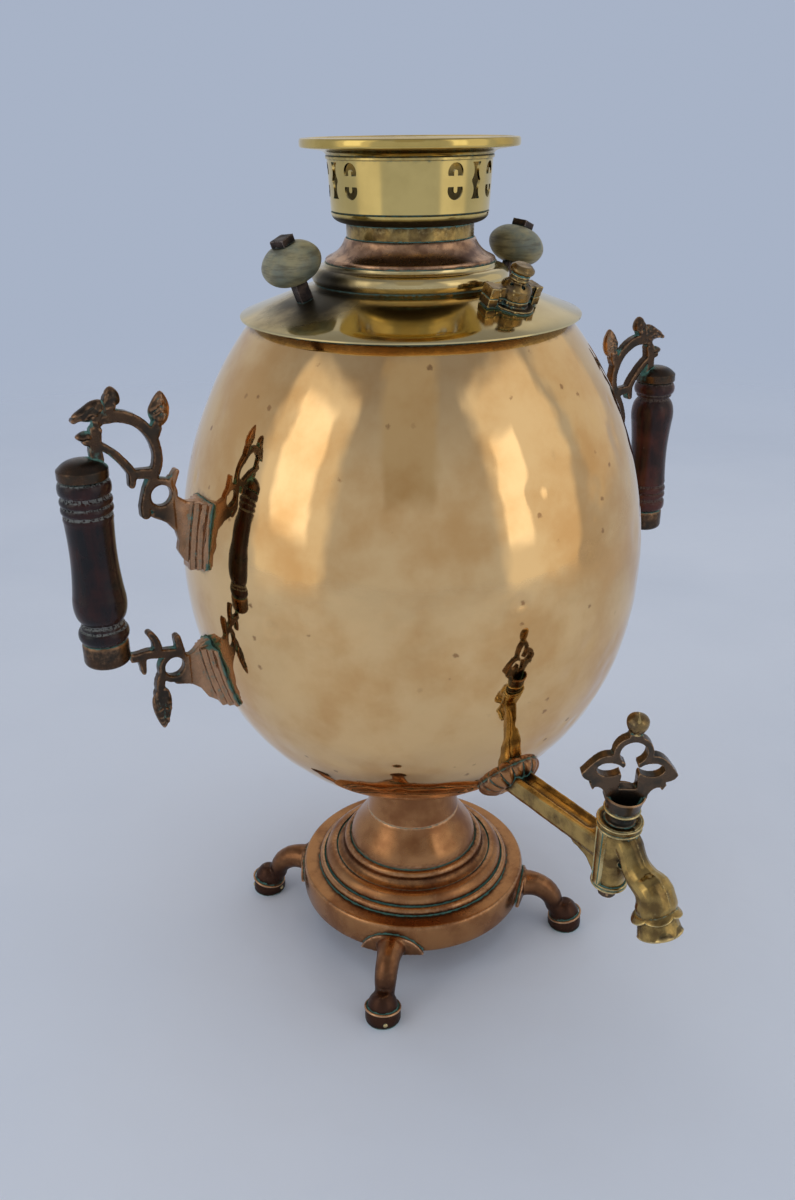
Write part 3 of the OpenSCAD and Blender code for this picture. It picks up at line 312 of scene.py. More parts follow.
def noiseOf(where, scale, detail=4.0):
    made = addNode(where.id_data, "ShaderNodeTexNoise")
    for label, source in (("Vector", where), ("Scale", scale), ("Detail", detail), ("Roughness", 0.55)):
        feed(source, made.inputs[label])
    return made.outputs["Fac"]


def apartOf(vector):
    made = addNode(vector.id_data, "ShaderNodeSeparateXYZ")
    feed(vector, made.inputs[0])
    return made.outputs


def joinedFrom(*parts):
    made = addNode(parts[0].id_data, "ShaderNodeCombineXYZ")
    for index, part in enumerate(parts):
        feed(part, made.inputs[index])
    return made.outputs[0]


def eitherOf(factor, first, second):
    made = addNode(factor.id_data, "ShaderNodeMixShader")
    for index, source in enumerate((factor, first.outputs[0], second.outputs[0])):
        feed(source, made.inputs[index])
    return made.outputs[0]


def objectSpace(tree):
    return addNode(tree, "ShaderNodeTexCoord").outputs["Object"]


def newGroup(name, inputs, outputs):
    tree = bpy.data.node_groups.new(name, "ShaderNodeTree")
    for label, value in inputs.items():
        socket = tree.interface.new_socket(label, in_out="INPUT", socket_type="NodeSocketFloat")
        socket.default_value = value
    for label in outputs:
        tree.interface.new_socket(label, in_out="OUTPUT", socket_type="NodeSocketFloat")
    return tree, tree.nodes.new("NodeGroupInput").outputs, tree.nodes.new("NodeGroupOutput").inputs


def placed(tree, group, **values):
    made = addNode(tree, "ShaderNodeGroup", node_tree=group)
    for key, value in values.items():
        feed(value, made.inputs[key.replace("_", " ")])
    return made.outputs


# ---- Effects ----

# Where surfaces meet: Dark is dirt with painted shade, darker in recesses by occlusion; Green is verdigris in
# the tight crevices
creviceGroup, take, give = newGroup(
    "crevicePatinaAndShade",
    {"Wide": 0.01, "Tight": 0.002, "Grain": 300.0, "Dark Amount": 1.0, "Green Amount": 1.0},
    ["Dark", "Green"])
speck = minus(noiseOf(objectSpace(creviceGroup), take["Grain"]), 0.5)
# The Dark pass paints shade into recesses, mixed with dirt; the Green pass is the metal's own verdigris
for size, label, gain, uneven, low, high in (("Wide", "Dark", 2.0, 0.9, 0.16, 0.85),
                                             ("Tight", "Green", 1.0, 1.1, 0.27, 0.46)):
    around = addNode(creviceGroup, "ShaderNodeAmbientOcclusion", samples=8)
    feed(take[size], around.inputs["Distance"])
    hidden = times(minus(1.0, around.outputs["AO"]), gain)
    recessMask = ranged(plus(hidden, times(speck, uneven)), low, high)
    feed(times(recessMask, take[label + " Amount"], True), give[label])

# Bright metal or bare wood on worn edges
wearGroup, take, give = newGroup("edgeWear", {"Amount": 1.0, "Grain": 400.0}, ["Wear"])
pointed = addNode(wearGroup, "ShaderNodeNewGeometry").outputs["Pointiness"]
broken = times(minus(noiseOf(objectSpace(wearGroup), take["Grain"]), 0.5), 0.06)
feed(times(ranged(plus(pointed, broken), 0.515, 0.56), take["Amount"], True), give["Wear"])

# Uneven colour: broad clouds, small spots and a fine grain
mottleGroup, take, give = newGroup("mottle", {"Cloud Scale": 30.0, "Spot Scale": 120.0, "Spot Size": 0.2},
                                   ["Cloud", "Spots", "Fine"])
where = objectSpace(mottleGroup)
feed(ranged(noiseOf(where, take["Cloud Scale"], 5.0), 0.38, 0.68), give["Cloud"])
cells = addNode(mottleGroup, "ShaderNodeTexVoronoi")
feed(where, cells.inputs["Vector"])
feed(take["Spot Scale"], cells.inputs["Scale"])
spotEdge = plus(cells.outputs["Distance"], times(noiseOf(where, 700.0), 0.25))
spots = ranged(spotEdge, plus(take["Spot Size"], 0.1), take["Spot Size"])
chosen = addNode(mottleGroup, "ShaderNodeSeparateColor")
feed(cells.outputs["Color"], chosen.inputs[0])
feed(times(spots, ranged(chosen.outputs[0], 0.62, 0.72)), give["Spots"])
feed(noiseOf(where, 1500.0, 6.0), give["Fine"])

# Fine rings from the lathe, round the vessel's axis
ringGroup, take, give = newGroup("turnedRings", {"Density": 900.0}, ["Rings"])
apart = apartOf(objectSpace(ringGroup))
fromAxis = minus(apart["Y"], axisY)
reach = calc("SQRT", plus(times(apart["X"], apart["X"]), times(fromAxis, fromAxis)))
joined = joinedFrom(times(reach, take["Density"]), times(apart["Z"], take["Density"]))
feed(noiseOf(joined, 1.0, 3.0), give["Rings"])

# Wood fibres along a piece's own length
grainGroup, take, give = newGroup("woodGrain", {"Across": 700.0, "Along": 40.0}, ["Grain", "Pores"])
apart = apartOf(objectSpace(grainGroup))
joined = joinedFrom(times(apart["X"], take["Across"]), times(apart["Y"], take["Across"]),
                    times(apart["Z"], take["Along"]))
feed(noiseOf(joined, 1.0, 5.0), give["Grain"])
feed(noiseOf(joined, 4.0, 3.0), give["Pores"])

# A place that differs: inside a radius or a height, or round a point, with an uneven edge
zoneGroup, take, give = newGroup(
    "zone", {"X": 0.0, "Y": 0.0, "Z": 0.0, "Flat": 0.0, "Upright": 0.0, "Start": 0.0, "End": 1.0,
             "Uneven": 0.0, "Grain": 60.0, "Amount": 1.0}, ["Zone"])
where = objectSpace(zoneGroup)
apart = apartOf(where)
squares = 0.0
for axis, weight in (("X", "Flat"), ("Y", "Flat"), ("Z", "Upright")):
    away = times(minus(apart[axis], take[axis]), take[weight])
    squares = plus(squares, times(away, away))
far = plus(calc("SQRT", squares), times(take["Uneven"], minus(noiseOf(where, take["Grain"]), 0.5)))
inside = minus(1.0, ranged(far, take["Start"], take["End"]))
feed(times(inside, take["Amount"], True), give["Zone"])


# ---- Finishes ----

def newMaterial(name):
    material = bpy.data.materials.new(name)
    material.use_nodes = True
    tree = material.node_tree
    tree.nodes.clear()
    surface = addNode(tree, "ShaderNodeBsdfPrincipled")
    end = addNode(tree, "ShaderNodeOutputMaterial")
    feed(surface.outputs[0], end.inputs["Surface"])
    return material, tree, surface


def bumped(surface, height, strength, distance):
    bump = addNode(surface.id_data, "ShaderNodeBump")
    for label, source in (("Strength", strength), ("Distance", distance*mm), ("Height", height)):
        feed(source, bump.inputs[label])
    feed(bump.outputs[0], surface.inputs["Normal"])


def metal(name, v):
    material, tree, surface = newMaterial(name)
    mottle = placed(tree, mottleGroup, Cloud_Scale=v["cloudScale"], Spot_Scale=v["spotScale"],
                    Spot_Size=v["spotSize"])
    crevice = placed(tree, creviceGroup, Wide=v["wide"]*mm, Tight=v["tight"]*mm, Grain=v["grain"],
                     Dark_Amount=v["darkAmount"], Green_Amount=v["greenAmount"])
    worn = placed(tree, wearGroup, Amount=v["wear"], Grain=500.0)["Wear"]
    cloud, dirtAndShade, verdigris = mottle["Cloud"], crevice["Dark"], crevice["Green"]
    spots = times(mottle["Spots"], v["spotAmount"])
    colour = blended(spots, blended(times(cloud, v["stainAmount"]), v["base"], v["stain"]), v["spot"])
    rough = plus(plus(v["roughness"], times(cloud, v["roughVary"])), times(dirtAndShade, 0.18))
    if "zone" in v:
        zone = placed(tree, zoneGroup, **v["zone"])["Zone"]
        colour = blended(zone, colour, v["zoneColour"])
        rough = plus(rough, times(zone, v["zoneRough"]))
    # Colour goes to dark in recesses: dirt with painted shade; verdigris stays the metal's own patina
    colour = blended(verdigris, blended(worn, blended(dirtAndShade, colour, v["dark"]), v["bright"]), v["green"])
    feed(colour, surface.inputs["Base Color"])
    feed(minus(1.0, times(verdigris, 0.92)), surface.inputs["Metallic"])
    rough = plus(plus(rough, times(spots, 0.3)), times(verdigris, 0.5), True)
    feed(rough, surface.inputs["Roughness"])
    height = mottle["Fine"]
    if "rings" in v:
        height = plus(times(height, 0.3), placed(tree, ringGroup, Density=v["rings"])["Rings"])
    bumped(surface, height, v["bump"], v["bumpDepth"])
    return material


# What most of the metals share; wide, tight and bumpDepth are in millimetres; dark is the colour of dirt with
# painted shade in recesses up to wide
usual = dict(stainAmount=0.85, spotAmount=0.5, darkAmount=1.0, greenAmount=0.9, tight=1.6, grain=380.0,
             wear=1.0, roughness=0.22, roughVary=0.12)
metals = {
    "polishedTombak": dict(
        base=(0.90, 0.59, 0.275), stain=(0.72, 0.39, 0.14), stainAmount=0.8, cloudScale=24.0,
        spot=(0.27, 0.12, 0.05), spotAmount=0.65, spotScale=95.0, spotSize=0.19,
        dark=(0.12, 0.07, 0.05), darkAmount=0.75, wide=6, green=(0.07, 0.20, 0.17), greenAmount=0.7,
        grain=260.0, bright=(0.9, 0.62, 0.34), wear=0.0, roughness=0.02, roughVary=0.03, bump=0.04,
        bumpDepth=0.05),
    "lidBrass": dict(
        base=(0.72, 0.56, 0.27), stain=(0.55, 0.38, 0.15), stainAmount=0.6, cloudScale=40.0,
        spot=(0.18, 0.12, 0.06), spotScale=150.0, spotSize=0.06,
        dark=(0.14, 0.09, 0.045), darkAmount=0.5, wide=2.5, green=(0.09, 0.20, 0.18), greenAmount=0.8,
        tight=1.2, grain=420.0, bright=(0.85, 0.72, 0.40), wear=0.25,
        zone=dict(X=-0.054, Y=0.041, Z=0.390, Flat=1.0, Upright=1.0, Start=0.012, End=0.040, Uneven=0.03,
                  Grain=60.0, Amount=0.9), zoneColour=(0.018, 0.017, 0.017), zoneRough=0.4,
        roughness=0.07, roughVary=0.07, bump=0.08, bumpDepth=0.04, rings=1400.0),
    "yellowBrass": dict(
        base=(0.70, 0.50, 0.155), stain=(0.47, 0.32, 0.08), stainAmount=0.7, cloudScale=38.0,
        spot=(0.18, 0.12, 0.06), spotAmount=0.4, spotScale=150.0, spotSize=0.05,
        dark=(0.055, 0.038, 0.016), wide=7, green=(0.09, 0.20, 0.18), greenAmount=0.7,
        tight=1.2, grain=420.0, bright=(0.85, 0.70, 0.34), wear=0.25,
        roughness=0.085, roughVary=0.09, bump=0.12, bumpDepth=0.04, rings=1400.0),
    "brownCopper": dict(
        base=(0.45, 0.212, 0.085), stain=(0.23, 0.09, 0.036), cloudScale=42.0,
        spot=(0.10, 0.05, 0.03), spotScale=240.0, spotSize=0.07,
        dark=(0.045, 0.02, 0.014), wide=9, green=(0.13, 0.30, 0.25),
        bright=(0.78, 0.47, 0.27), wear=0.7, bump=0.25, bumpDepth=0.06),
    "footCopper": dict(
        base=(0.38, 0.175, 0.075), stain=(0.19, 0.08, 0.035), cloudScale=70.0,
        spot=(0.10, 0.05, 0.03), spotScale=240.0, spotSize=0.07,
        dark=(0.04, 0.02, 0.014), wide=8, green=(0.13, 0.30, 0.25), greenAmount=1.0,
        tight=1.8, bright=(0.72, 0.42, 0.24), wear=0.9,
        zone=dict(Z=-0.004, Upright=1.0, Start=0.019, End=0.040, Uneven=0.012, Grain=120.0, Amount=0.93),
        zoneColour=(0.05, 0.024, 0.018), zoneRough=0.12, roughness=0.24, bump=0.3, bumpDepth=0.08),
    "mottledCopper": dict(
        base=(0.56, 0.32, 0.18), stain=(0.16, 0.08, 0.05), cloudScale=150.0,
        spot=(0.08, 0.04, 0.03), spotAmount=0.8, spotScale=330.0, spotSize=0.16,
        dark=(0.045, 0.025, 0.02), wide=7, green=(0.12, 0.27, 0.24),
        tight=1.2, bright=(0.78, 0.48, 0.28), wear=0.6, roughVary=0.14, bump=0.35, bumpDepth=0.08),
    "darkBronze": dict(
        base=(0.085, 0.05, 0.031), stain=(0.04, 0.036, 0.03), cloudScale=120.0,
        spot=(0.04, 0.03, 0.03), spotScale=420.0, spotSize=0.15,
        dark=(0.03, 0.028, 0.024), darkAmount=0.8, wide=4, green=(0.15, 0.34, 0.29), greenAmount=0.95,
        tight=7.5, grain=300.0, bright=(0.46, 0.25, 0.13), wear=0.6,
        zone=dict(Y=axisY, Flat=1.0, Start=0.129, End=0.141, Uneven=0.012, Grain=90.0, Amount=0.9),
        zoneColour=(0.52, 0.29, 0.16), zoneRough=-0.08, roughness=0.25, bump=0.4, bumpDepth=0.12),
    "keyBronze": dict(
        base=(0.13, 0.085, 0.055), stain=(0.06, 0.055, 0.045), cloudScale=160.0,
        spot=(0.04, 0.03, 0.03), spotScale=420.0, spotSize=0.15,
        dark=(0.025, 0.026, 0.024), darkAmount=0.9, wide=5, green=(0.14, 0.32, 0.28),
        grain=520.0, bright=(0.46, 0.27, 0.14), roughness=0.26, bump=0.4, bumpDepth=0.1),
    "tapBrass": dict(
        base=(0.52, 0.34, 0.11), stain=(0.17, 0.105, 0.04), stainAmount=1.0, cloudScale=95.0,
        spot=(0.09, 0.06, 0.04), spotScale=300.0, spotSize=0.08,
        dark=(0.035, 0.024, 0.014), wide=9, green=(0.16, 0.36, 0.32), greenAmount=1.0,
        tight=1.3, grain=420.0, bright=(0.74, 0.58, 0.28), wear=0.9,
        zone=dict(Y=axisY - 0.187, Z=0.160, Flat=1.0, Upright=1.0, Start=0.003, End=0.011, Uneven=0.006,
                  Grain=200.0, Amount=0.75), zoneColour=(0.05, 0.035, 0.02), zoneRough=0.1,
        roughness=0.17, bump=0.25, bumpDepth=0.08),
    "ventBronze": dict(
        base=(0.33, 0.21, 0.08), stain=(0.10, 0.07, 0.045), stainAmount=0.9, cloudScale=140.0,
        spot=(0.05, 0.04, 0.03), spotScale=420.0, spotSize=0.12,
        dark=(0.03, 0.027, 0.024), wide=6, green=(0.14, 0.32, 0.28), greenAmount=1.0,
        grain=480.0, bright=(0.72, 0.52, 0.22), bump=0.35, bumpDepth=0.08),
    "rustyIron": dict(
        base=(0.08, 0.055, 0.045), stain=(0.04, 0.033, 0.033), stainAmount=1.0, cloudScale=260.0,
        spot=(0.17, 0.075, 0.04), spotAmount=0.7, spotScale=500.0, spotSize=0.2,
        dark=(0.02, 0.018, 0.016), darkAmount=0.9, wide=4, green=(0.05, 0.09, 0.08), greenAmount=0.6,
        tight=1.5, grain=600.0, bright=(0.33, 0.27, 0.24), wear=0.7,
        roughness=0.42, roughVary=0.2, bump=0.7, bumpDepth=0.2),
}
metals["sootyBrass"] = dict(
    metals["yellowBrass"], zoneColour=(0.022, 0.016, 0.010), zoneRough=0.5,
    zone=dict(Y=axisY, Flat=1.0, Start=0.0380, End=0.0388, Uneven=0.0006, Grain=90.0, Amount=0.96))
metals["nozzleBrass"] = dict(metals["ventBronze"], base=(0.24, 0.17, 0.065))
finish = {name: metal(name, {**usual, **own}) for name, own in metals.items()}

lacquer = {"black": (0.007, 0.006, 0.0075), "red": (0.045, 0.011, 0.008), "bare": (0.26, 0.27, 0.255),
           "roughness": 0.22}
redLacquer = {"black": (0.022, 0.008, 0.006), "red": (0.11, 0.026, 0.016), "bare": (0.16, 0.12, 0.10),
              "roughness": 0.24}
knobWood = {"pale": (0.33, 0.29, 0.16), "grey": (0.17, 0.185, 0.14), "dark": (0.07, 0.055, 0.03),
            "roughness": 0.36}


def lacqueredWood(name, v):
    material, tree, surface = newMaterial(name)
    grain = placed(tree, grainGroup, Across=260.0, Along=30.0)
    mottle = placed(tree, mottleGroup, Cloud_Scale=60.0, Spot_Scale=120.0, Spot_Size=0.10)
    groove = placed(tree, creviceGroup, Wide=4.5*mm, Tight=mm, Grain=420.0, Dark_Amount=1.0, Green_Amount=0.0)
    colour = blended(times(mottle["Cloud"], 0.7), v["black"], v["red"])
    colour = blended(times(ranged(grain["Grain"], 0.45, 0.7), 0.35), colour, v["red"])
    worn = calc("MAXIMUM", times(groove["Dark"], 1.3), times(mottle["Spots"], 0.55))
    worn = times(worn, ranged(grain["Pores"], 0.40, 0.55), True)
    feed(blended(worn, colour, v["bare"]), surface.inputs["Base Color"])
    feed(plus(v["roughness"], times(worn, 0.45)), surface.inputs["Roughness"])
    for label, value in (("Specular IOR Level", 0.22), ("Coat Weight", 0.12), ("Coat Roughness", 0.10)):
        surface.inputs[label].default_value = value
    bumped(surface, plus(grain["Grain"], times(worn, 0.5)), 0.25, 0.15)
    return material


def paleWood(name, v):
    material, tree, surface = newMaterial(name)
    grain = placed(tree, grainGroup, Across=90.0, Along=520.0)
    mottle = placed(tree, mottleGroup, Cloud_Scale=90.0)
    crevice = placed(tree, creviceGroup, Wide=5*mm, Tight=1.4*mm, Grain=500.0, Dark_Amount=0.8)
    colour = blended(mottle["Cloud"], v["pale"], v["grey"])
    colour = blended(times(ranged(grain["Grain"], 0.42, 0.66), 0.55), colour, v["dark"])
    # Darker in the crevices: dirt with painted shade
    feed(blended(crevice["Dark"], colour, v["dark"]), surface.inputs["Base Color"])
    feed(plus(v["roughness"], times(grain["Pores"], 0.15)), surface.inputs["Roughness"])
    surface.inputs["Specular IOR Level"].default_value = 0.45
    bumped(surface, grain["Grain"], 0.3, 0.15)
    return material


finish["lacqueredWood"] = lacqueredWood("lacqueredWood", lacquer)
finish["redLacquer"] = lacqueredWood("redLacquer", redLacquer)
finish["paleWood"] = paleWood("paleWood", knobWood)
print("materials: %d" % len(finish))


# ---- Floor and light ----

stage = {
    "floorSize": 16.0, "fadeStart": 0.55, "fadeEnd": 2.2, "middleZ": 0.26,
    "floorColour": (0.77, 0.82, 0.925),
    "foldColour": (0.715, 0.77, 0.88),
    "farColour": (0.39, 0.45, 0.57),
    "levelColour": (0.47, 0.515, 0.60),
    "overheadColour": (0.25, 0.265, 0.31),
    "softboxColour": (0.99, 1.0, 1.0),
}
softboxes = {
    # turn, rise, distance, width, height, radiance
    "softboxLeft": (-60, 19, 1.55, 1.35, 2.3, 0.76),
    "softboxLeftCore": (-60, 22, 1.45, 0.62, 1.2, 1.3),
    "softboxRight": (62, 19, 1.55, 1.5, 2.3, 0.78),
    "softboxRightCore": (50, 17, 1.45, 0.46, 0.95, 1.25),
    "sheetRight": (112, 20, 1.7, 1.2, 1.5, 0.60),
    "sheetBehind": (180, 32, 2.2, 2.4, 1.6, 0.62),
    "roomFront": (-2, 42, 1.7, 0.95, 1.8, 0.36),
    "fill": (0, 90, 2.6, 2.8, 2.8, 1.25),
}

# The floor keeps its shadow and fades into the far colour
material, tree, surface = newMaterial("paleCloth")
where = objectSpace(tree)
feed(blended(ranged(noiseOf(where, 2.2, 3.0), 0.35, 0.7), stage["floorColour"], stage["foldColour"]),
     surface.inputs["Base Color"])
surface.inputs["Roughness"].default_value = 0.9
surface.inputs["Specular IOR Level"].default_value = 0.1
bumped(surface, noiseOf(where, 5.0, 4.0), 0.6, 16.0)
fromMiddle = addNode(tree, "ShaderNodeVectorMath", operation="LENGTH")
feed(where, fromMiddle.inputs[0])
faded = eitherOf(ranged(fromMiddle.outputs["Value"], stage["fadeStart"], stage["fadeEnd"]), surface,
                 addNode(tree, "ShaderNodeBsdfTransparent"))
end = [node for node in tree.nodes if node.bl_idname == "ShaderNodeOutputMaterial"][0]
feed(faded, end.inputs["Surface"])
floor = sheetOf("floor", stage["floorSize"]/2)
floor.data.materials.append(material)


def mirrorOf(turn, rise, distance):
    # A place seen from the vessel in a direction, counted from the photograph's own front
    a = math.radians(turn) + viewTurn
    e = math.radians(rise)
    flat = distance*math.cos(e)
    return Vector((flat*math.sin(a), axisY - flat*math.cos(a), stage["middleZ"] + distance*math.sin(e)))


def addSoftbox(name, turn, rise, distance, width, height, radiance):
    # A panel that fades out towards its edge, never seen by the camera
    obj = sheetOf(name, 0.5)
    material = bpy.data.materials.new(name)
    material.use_nodes = True
    tree = material.node_tree
    tree.nodes.clear()
    spot = apartOf(objectSpace(tree))
    across = ranged(calc("ABSOLUTE", spot["X"]), 0.5, 0.33)
    upward = ranged(calc("ABSOLUTE", spot["Y"]), 0.5, 0.32)
    glow = addNode(tree, "ShaderNodeEmission")
    feed(stage["softboxColour"], glow.inputs["Color"])
    feed(radiance, glow.inputs["Strength"])
    seen = eitherOf(times(across, upward), addNode(tree, "ShaderNodeBsdfTransparent"), glow)
    feed(seen, addNode(tree, "ShaderNodeOutputMaterial").inputs["Surface"])
    obj.data.materials.append(material)
    obj.location = mirrorOf(turn, rise, distance)
    aim = Vector((0, axisY, stage["middleZ"])) - obj.location
    obj.rotation_euler = aim.to_track_quat("Z", "Y").to_euler()
    obj.scale = (width, height, 1)
    obj.visible_camera = False
    obj.visible_shadow = False
    obj.visible_glossy = name != "fill"


for name, values in softboxes.items():
    addSoftbox(name, *values)

world = bpy.data.worlds.new("studio")
scene.world = world
world.use_nodes = True
tree = world.node_tree
tree.nodes.clear()
around = addNode(tree, "ShaderNodeBackground")
heading = apartOf(addNode(tree, "ShaderNodeTexCoord").outputs["Generated"])["Z"]
feed(blended(ranged(heading, 0.2, 1.0), stage["levelColour"], stage["overheadColour"]), around.inputs[0])
seen = addNode(tree, "ShaderNodeBackground")
feed(stage["farColour"], seen.inputs[0])
feed(eitherOf(addNode(tree, "ShaderNodeLightPath").outputs["Is Camera Ray"], around, seen),
     addNode(tree, "ShaderNodeOutputWorld").inputs[0])
print("stage ready")


# ---- Base ----

base = {
    "discR": 69.7, "underZ": 23.5, "topZ": 41.2, "wall": 2.2, "ringsR": 59.1,
    "ringZ": (45.4, 51.8, 59.2), "ringR": (55.2, 47.9, 39.0),
    "waistR": 28.2, "waistZ": 80.7, "neckR": 25.6, "eggLowZ": 106.7,
}


def buildBase(v):
    top, r, wall = v["topZ"], v["discR"], v["wall"]
    under, inner = v["underZ"] - top, v["ringsR"] - r
    disc = traced(
        (-wall, under), (-0.7, under), (-0.2, under + 2.0),
        ((0, under + 4), (0.3, -9), (0.1, -5), (-0.3, -2.4), 6),
        ((-0.5, -1.6), (-0.9, -0.3), (-1.6, 0), (-2.8, -0.1), 5),
        (-6, -0.25), (inner + 0.8, -0.1), (inner - 8, -0.1), (inner - 8, -wall), (-wall, -wall), at=(r, top))
    z1, z2, z3 = v["ringZ"]
    r1, r2, r3 = v["ringR"]
    r0 = v["ringsR"]
    rings = traced(
        (r0 - 0.5, top - 0.3),
        ((r0 - 0.2, top + 0.2), (r0 + 1.0, top + 1.8), (r0 - 0.6, z1 + 0.6), (r1 + 1.2, z1 - 0.1), 8),
        (r1 + 0.7, z1 - 1.3), (r1 + 0.1, z1 - 1.3),
        ((r1 - 0.1, z1 - 0.6), (r1 + 1.0, z2 - 3.2), (r2 + 4.4, z2 + 1.2), (r2 + 0.6, z2 - 0.4), 12),
        (r2 + 0.3, z2 - 1.6), (r2 - 0.3, z2 - 1.6),
        ((r2 - 0.4, z2 - 1.0), (r2 - 3.4, z2 - 0.6), (r2 - 4.6, z2 + 0.4), (r3 + 4.0, z3 - 4.0), 8),
        ((r3 + 4.1, z3 - 3.6), (r3 + 4.6, z3 - 0.6), (r3 + 2.4, z3 + 0.6), (r3 + 0.7, z3 - 0.3), 8),
        (r3 + 0.4, z3 - 1.4), (r3 - 0.1, z3 - 1.4), (r3 - 0.1, z3),
        (r3 - wall, z3), (r3 - wall, z2 - wall), (r2 - wall, z1 - wall), (r2 - wall, top))
    waist, waistZ, neckR, low = v["waistR"], v["waistZ"], v["neckR"], v["eggLowZ"]
    bell = traced(
        ((r3 - 0.1, z3), (r3 - 0.4, z3 + 8.6), (waist + 2.6, waistZ - 7.6), (waist + 0.1, waistZ - 0.7), 18),
        (waist - 0.6, waistZ), (waist - wall, waistZ), (r3 - wall, z3))
    neck = traced(
        (waist - 0.6, waistZ),
        ((waist - 0.1, waistZ + 0.6), (waist - 0.6, waistZ + 3.4), (neckR + 0.8, waistZ + 8),
         (neckR, low - 5), 12),
        (neckR, low + 2.6), (neckR - 3, low + 2.4), (neckR - 3, waistZ))
    for name, outline, sides, node in (
            ("baseDisc", rounded(disc, 0.5), 224, "base_disc"), ("baseRings", rings, 224, "base_rings"),
            ("pedestalBell", bell, 192, "pedestal_bell"), ("pedestalNeck", neck, 160, "pedestal_neck")):
        fit(turned(name, outline, sides), "vessel", "copper_patina", "brownCopper", node)


foot = {"circleR": 97.8, "hoofR": 10.3, "bandZ": 8.4, "bandR": 9.9, "bandThick": 0.75, "rivetR": 1.3,
        "rivetZ": 3.6, "rivetTurn": 70, "bandTilt": 12}


def footSculpt(co):
    drift = noise.noise(co*160)*0.25 + noise.noise(co*420)*0.10
    return co + Vector((co.x, co.y - axisY, 0)).normalized()*drift*mm


def buildFeet(v):
    for name, turn in (("foot_front_left", -45), ("foot_front_right", 45),
                       ("foot_rear_left", -135), ("foot_rear_right", 135)):
        fit(cast(name + "Cast", name, 0.7, 5, footSculpt), "vessel", "copper_patina", "footCopper", name)
        out = outAndAcross(math.radians(turn))[0]
        centre = Vector((0, axisY, 0)) + out*v["circleR"]*mm
        tilt = spun(Vector((out.y, -out.x, 0)), v["bandTilt"])
        place = Matrix.Translation(centre + Vector((0, 0, v["bandZ"]*mm))) @ tilt
        band = turned(name + "Band", arc((v["bandR"], 0), v["bandThick"], 0, 330, 11), 64, place)
        fit(band, "vessel", "copper_patina", "brownCopper")
        for side, label in ((-1, "A"), (1, "B")):
            sideways = spun("Z", 90 + v["rivetTurn"]*side) @ out
            spot = centre + sideways*(v["hoofR"] - 0.35)*mm + Vector((0, 0, v["rivetZ"]*mm))
            aim = Vector(sideways).to_track_quat("Z", "Y").to_matrix().to_4x4()
            head = [(0, -0.4), (v["rivetR"], -0.4), (v["rivetR"], 0.2), (v["rivetR"]*0.7, 0.6), (0, 0.75)]
            stud = turned("%sStud%s" % (name, label), head, 24, Matrix.Translation(spot) @ aim)
            fit(stud, "vessel", "copper_patina", "tapBrass")


buildBase(base)
buildFeet(foot)
print("base ready")


# ---- Vessel ----

egg = {"middleR": 124.5, "half": 156.5, "midZ": 263.2, "skew": 0.063, "wall": 1.4, "mouthZ": 379.0,
       "footR": 22.25, "sides": 420, "rows": 190, "insideRows": 40}


def eggRadius(z, wall=0.0):
    u = (z - egg["midZ"])/(egg["half"] - wall)
    return (egg["middleR"] - wall)*math.sqrt(max(0.0, 1 - u*u))*(1 - egg["skew"]*u)


def eggSlope(z):
    return eggRadius(z + 0.5) - eggRadius(z - 0.5)


dents = {"count": 190, "low": 140.0, "high": 350.0, "smallest": 2.4, "largest": 7.5, "shallow": 0.12,
         "deep": 0.55}


def dentRows(v):
    # Small knocks, thickest at the front right, sorted into bands by height
    draw = random.Random(11)
    bands = {}
    for index in range(v["count"]):
        turn = draw.gauss(-50, 28) if index % 2 else draw.uniform(-180, 180)
        z = draw.uniform(v["low"], v["high"])
        size = v["smallest"] + (v["largest"] - v["smallest"])*draw.random()**2
        depth = v["shallow"] + (v["deep"] - v["shallow"])*draw.random()**1.5
        for band in range(int((z - 3*size)//10), int((z + 3*size)//10) + 1):
            bands.setdefault(band, []).append((math.radians(turn), z, size, depth))
    return bands


knocks = dentRows(dents)


def dentAt(a, z):
    # Broad unevenness of hammered and handled sheet with its knocks, in millimetres
    p = Vector((math.cos(a)*1.25, math.sin(a)*1.25, z/100))
    total = noise.noise(p*2.6 + Vector((3, 1, 7)))*0.22 + noise.noise(p*7.5)*0.06
    total += noise.noise(p*19.0 + Vector((5, 5, 1)))*0.04
    ripple = math.exp(-((z - 178)/34)**2)
    total += (roundNoise(a, z, 4.6, 13)*0.40 + roundNoise(a, z, 13, 7)*0.10)*ripple
    r = eggRadius(z)
    for turn, middle, size, depth in knocks.get(int(z//10), []):
        across = (a - turn + math.pi) % (2*math.pi) - math.pi
        far = ((across*r)**2 + (z - middle)**2)/(size*size)
        if far < 9:
            total -= depth*math.exp(-far)
    return total


def buildEgg(v):
    half, mid, mouth, last = v["half"], v["midZ"], v["mouthZ"], v["insideRows"] - 1
    low = mid - half
    while eggRadius(low) < v["footR"]:
        low += 0.05
    start = math.acos((mid - low)/half)
    end = math.acos((mid - mouth)/half)
    heights = [mid - half*math.cos(start + (end - start)*i/v["rows"]) for i in range(v["rows"] + 1)]
    outline = [(eggRadius(z), z) for z in heights]
    for i in range(v["insideRows"]):
        z = mouth - (mouth - low - v["wall"])*i/last
        outline.append((max(v["footR"], eggRadius(z, v["wall"]) - 0.4), z))

    def shaped(a, r, z):
        if r < eggRadius(z) - 0.3 or z > mouth - 2:
            return r, z
        across, up = Vector((1, -eggSlope(z))).normalized()
        d = dentAt(a, z)
        return r + across*d, z + up*d

    shell = turned("eggShell", outline, v["sides"], None, shaped)
    fit(shell, "vessel", "tombak", "polishedTombak", *shellCourses)


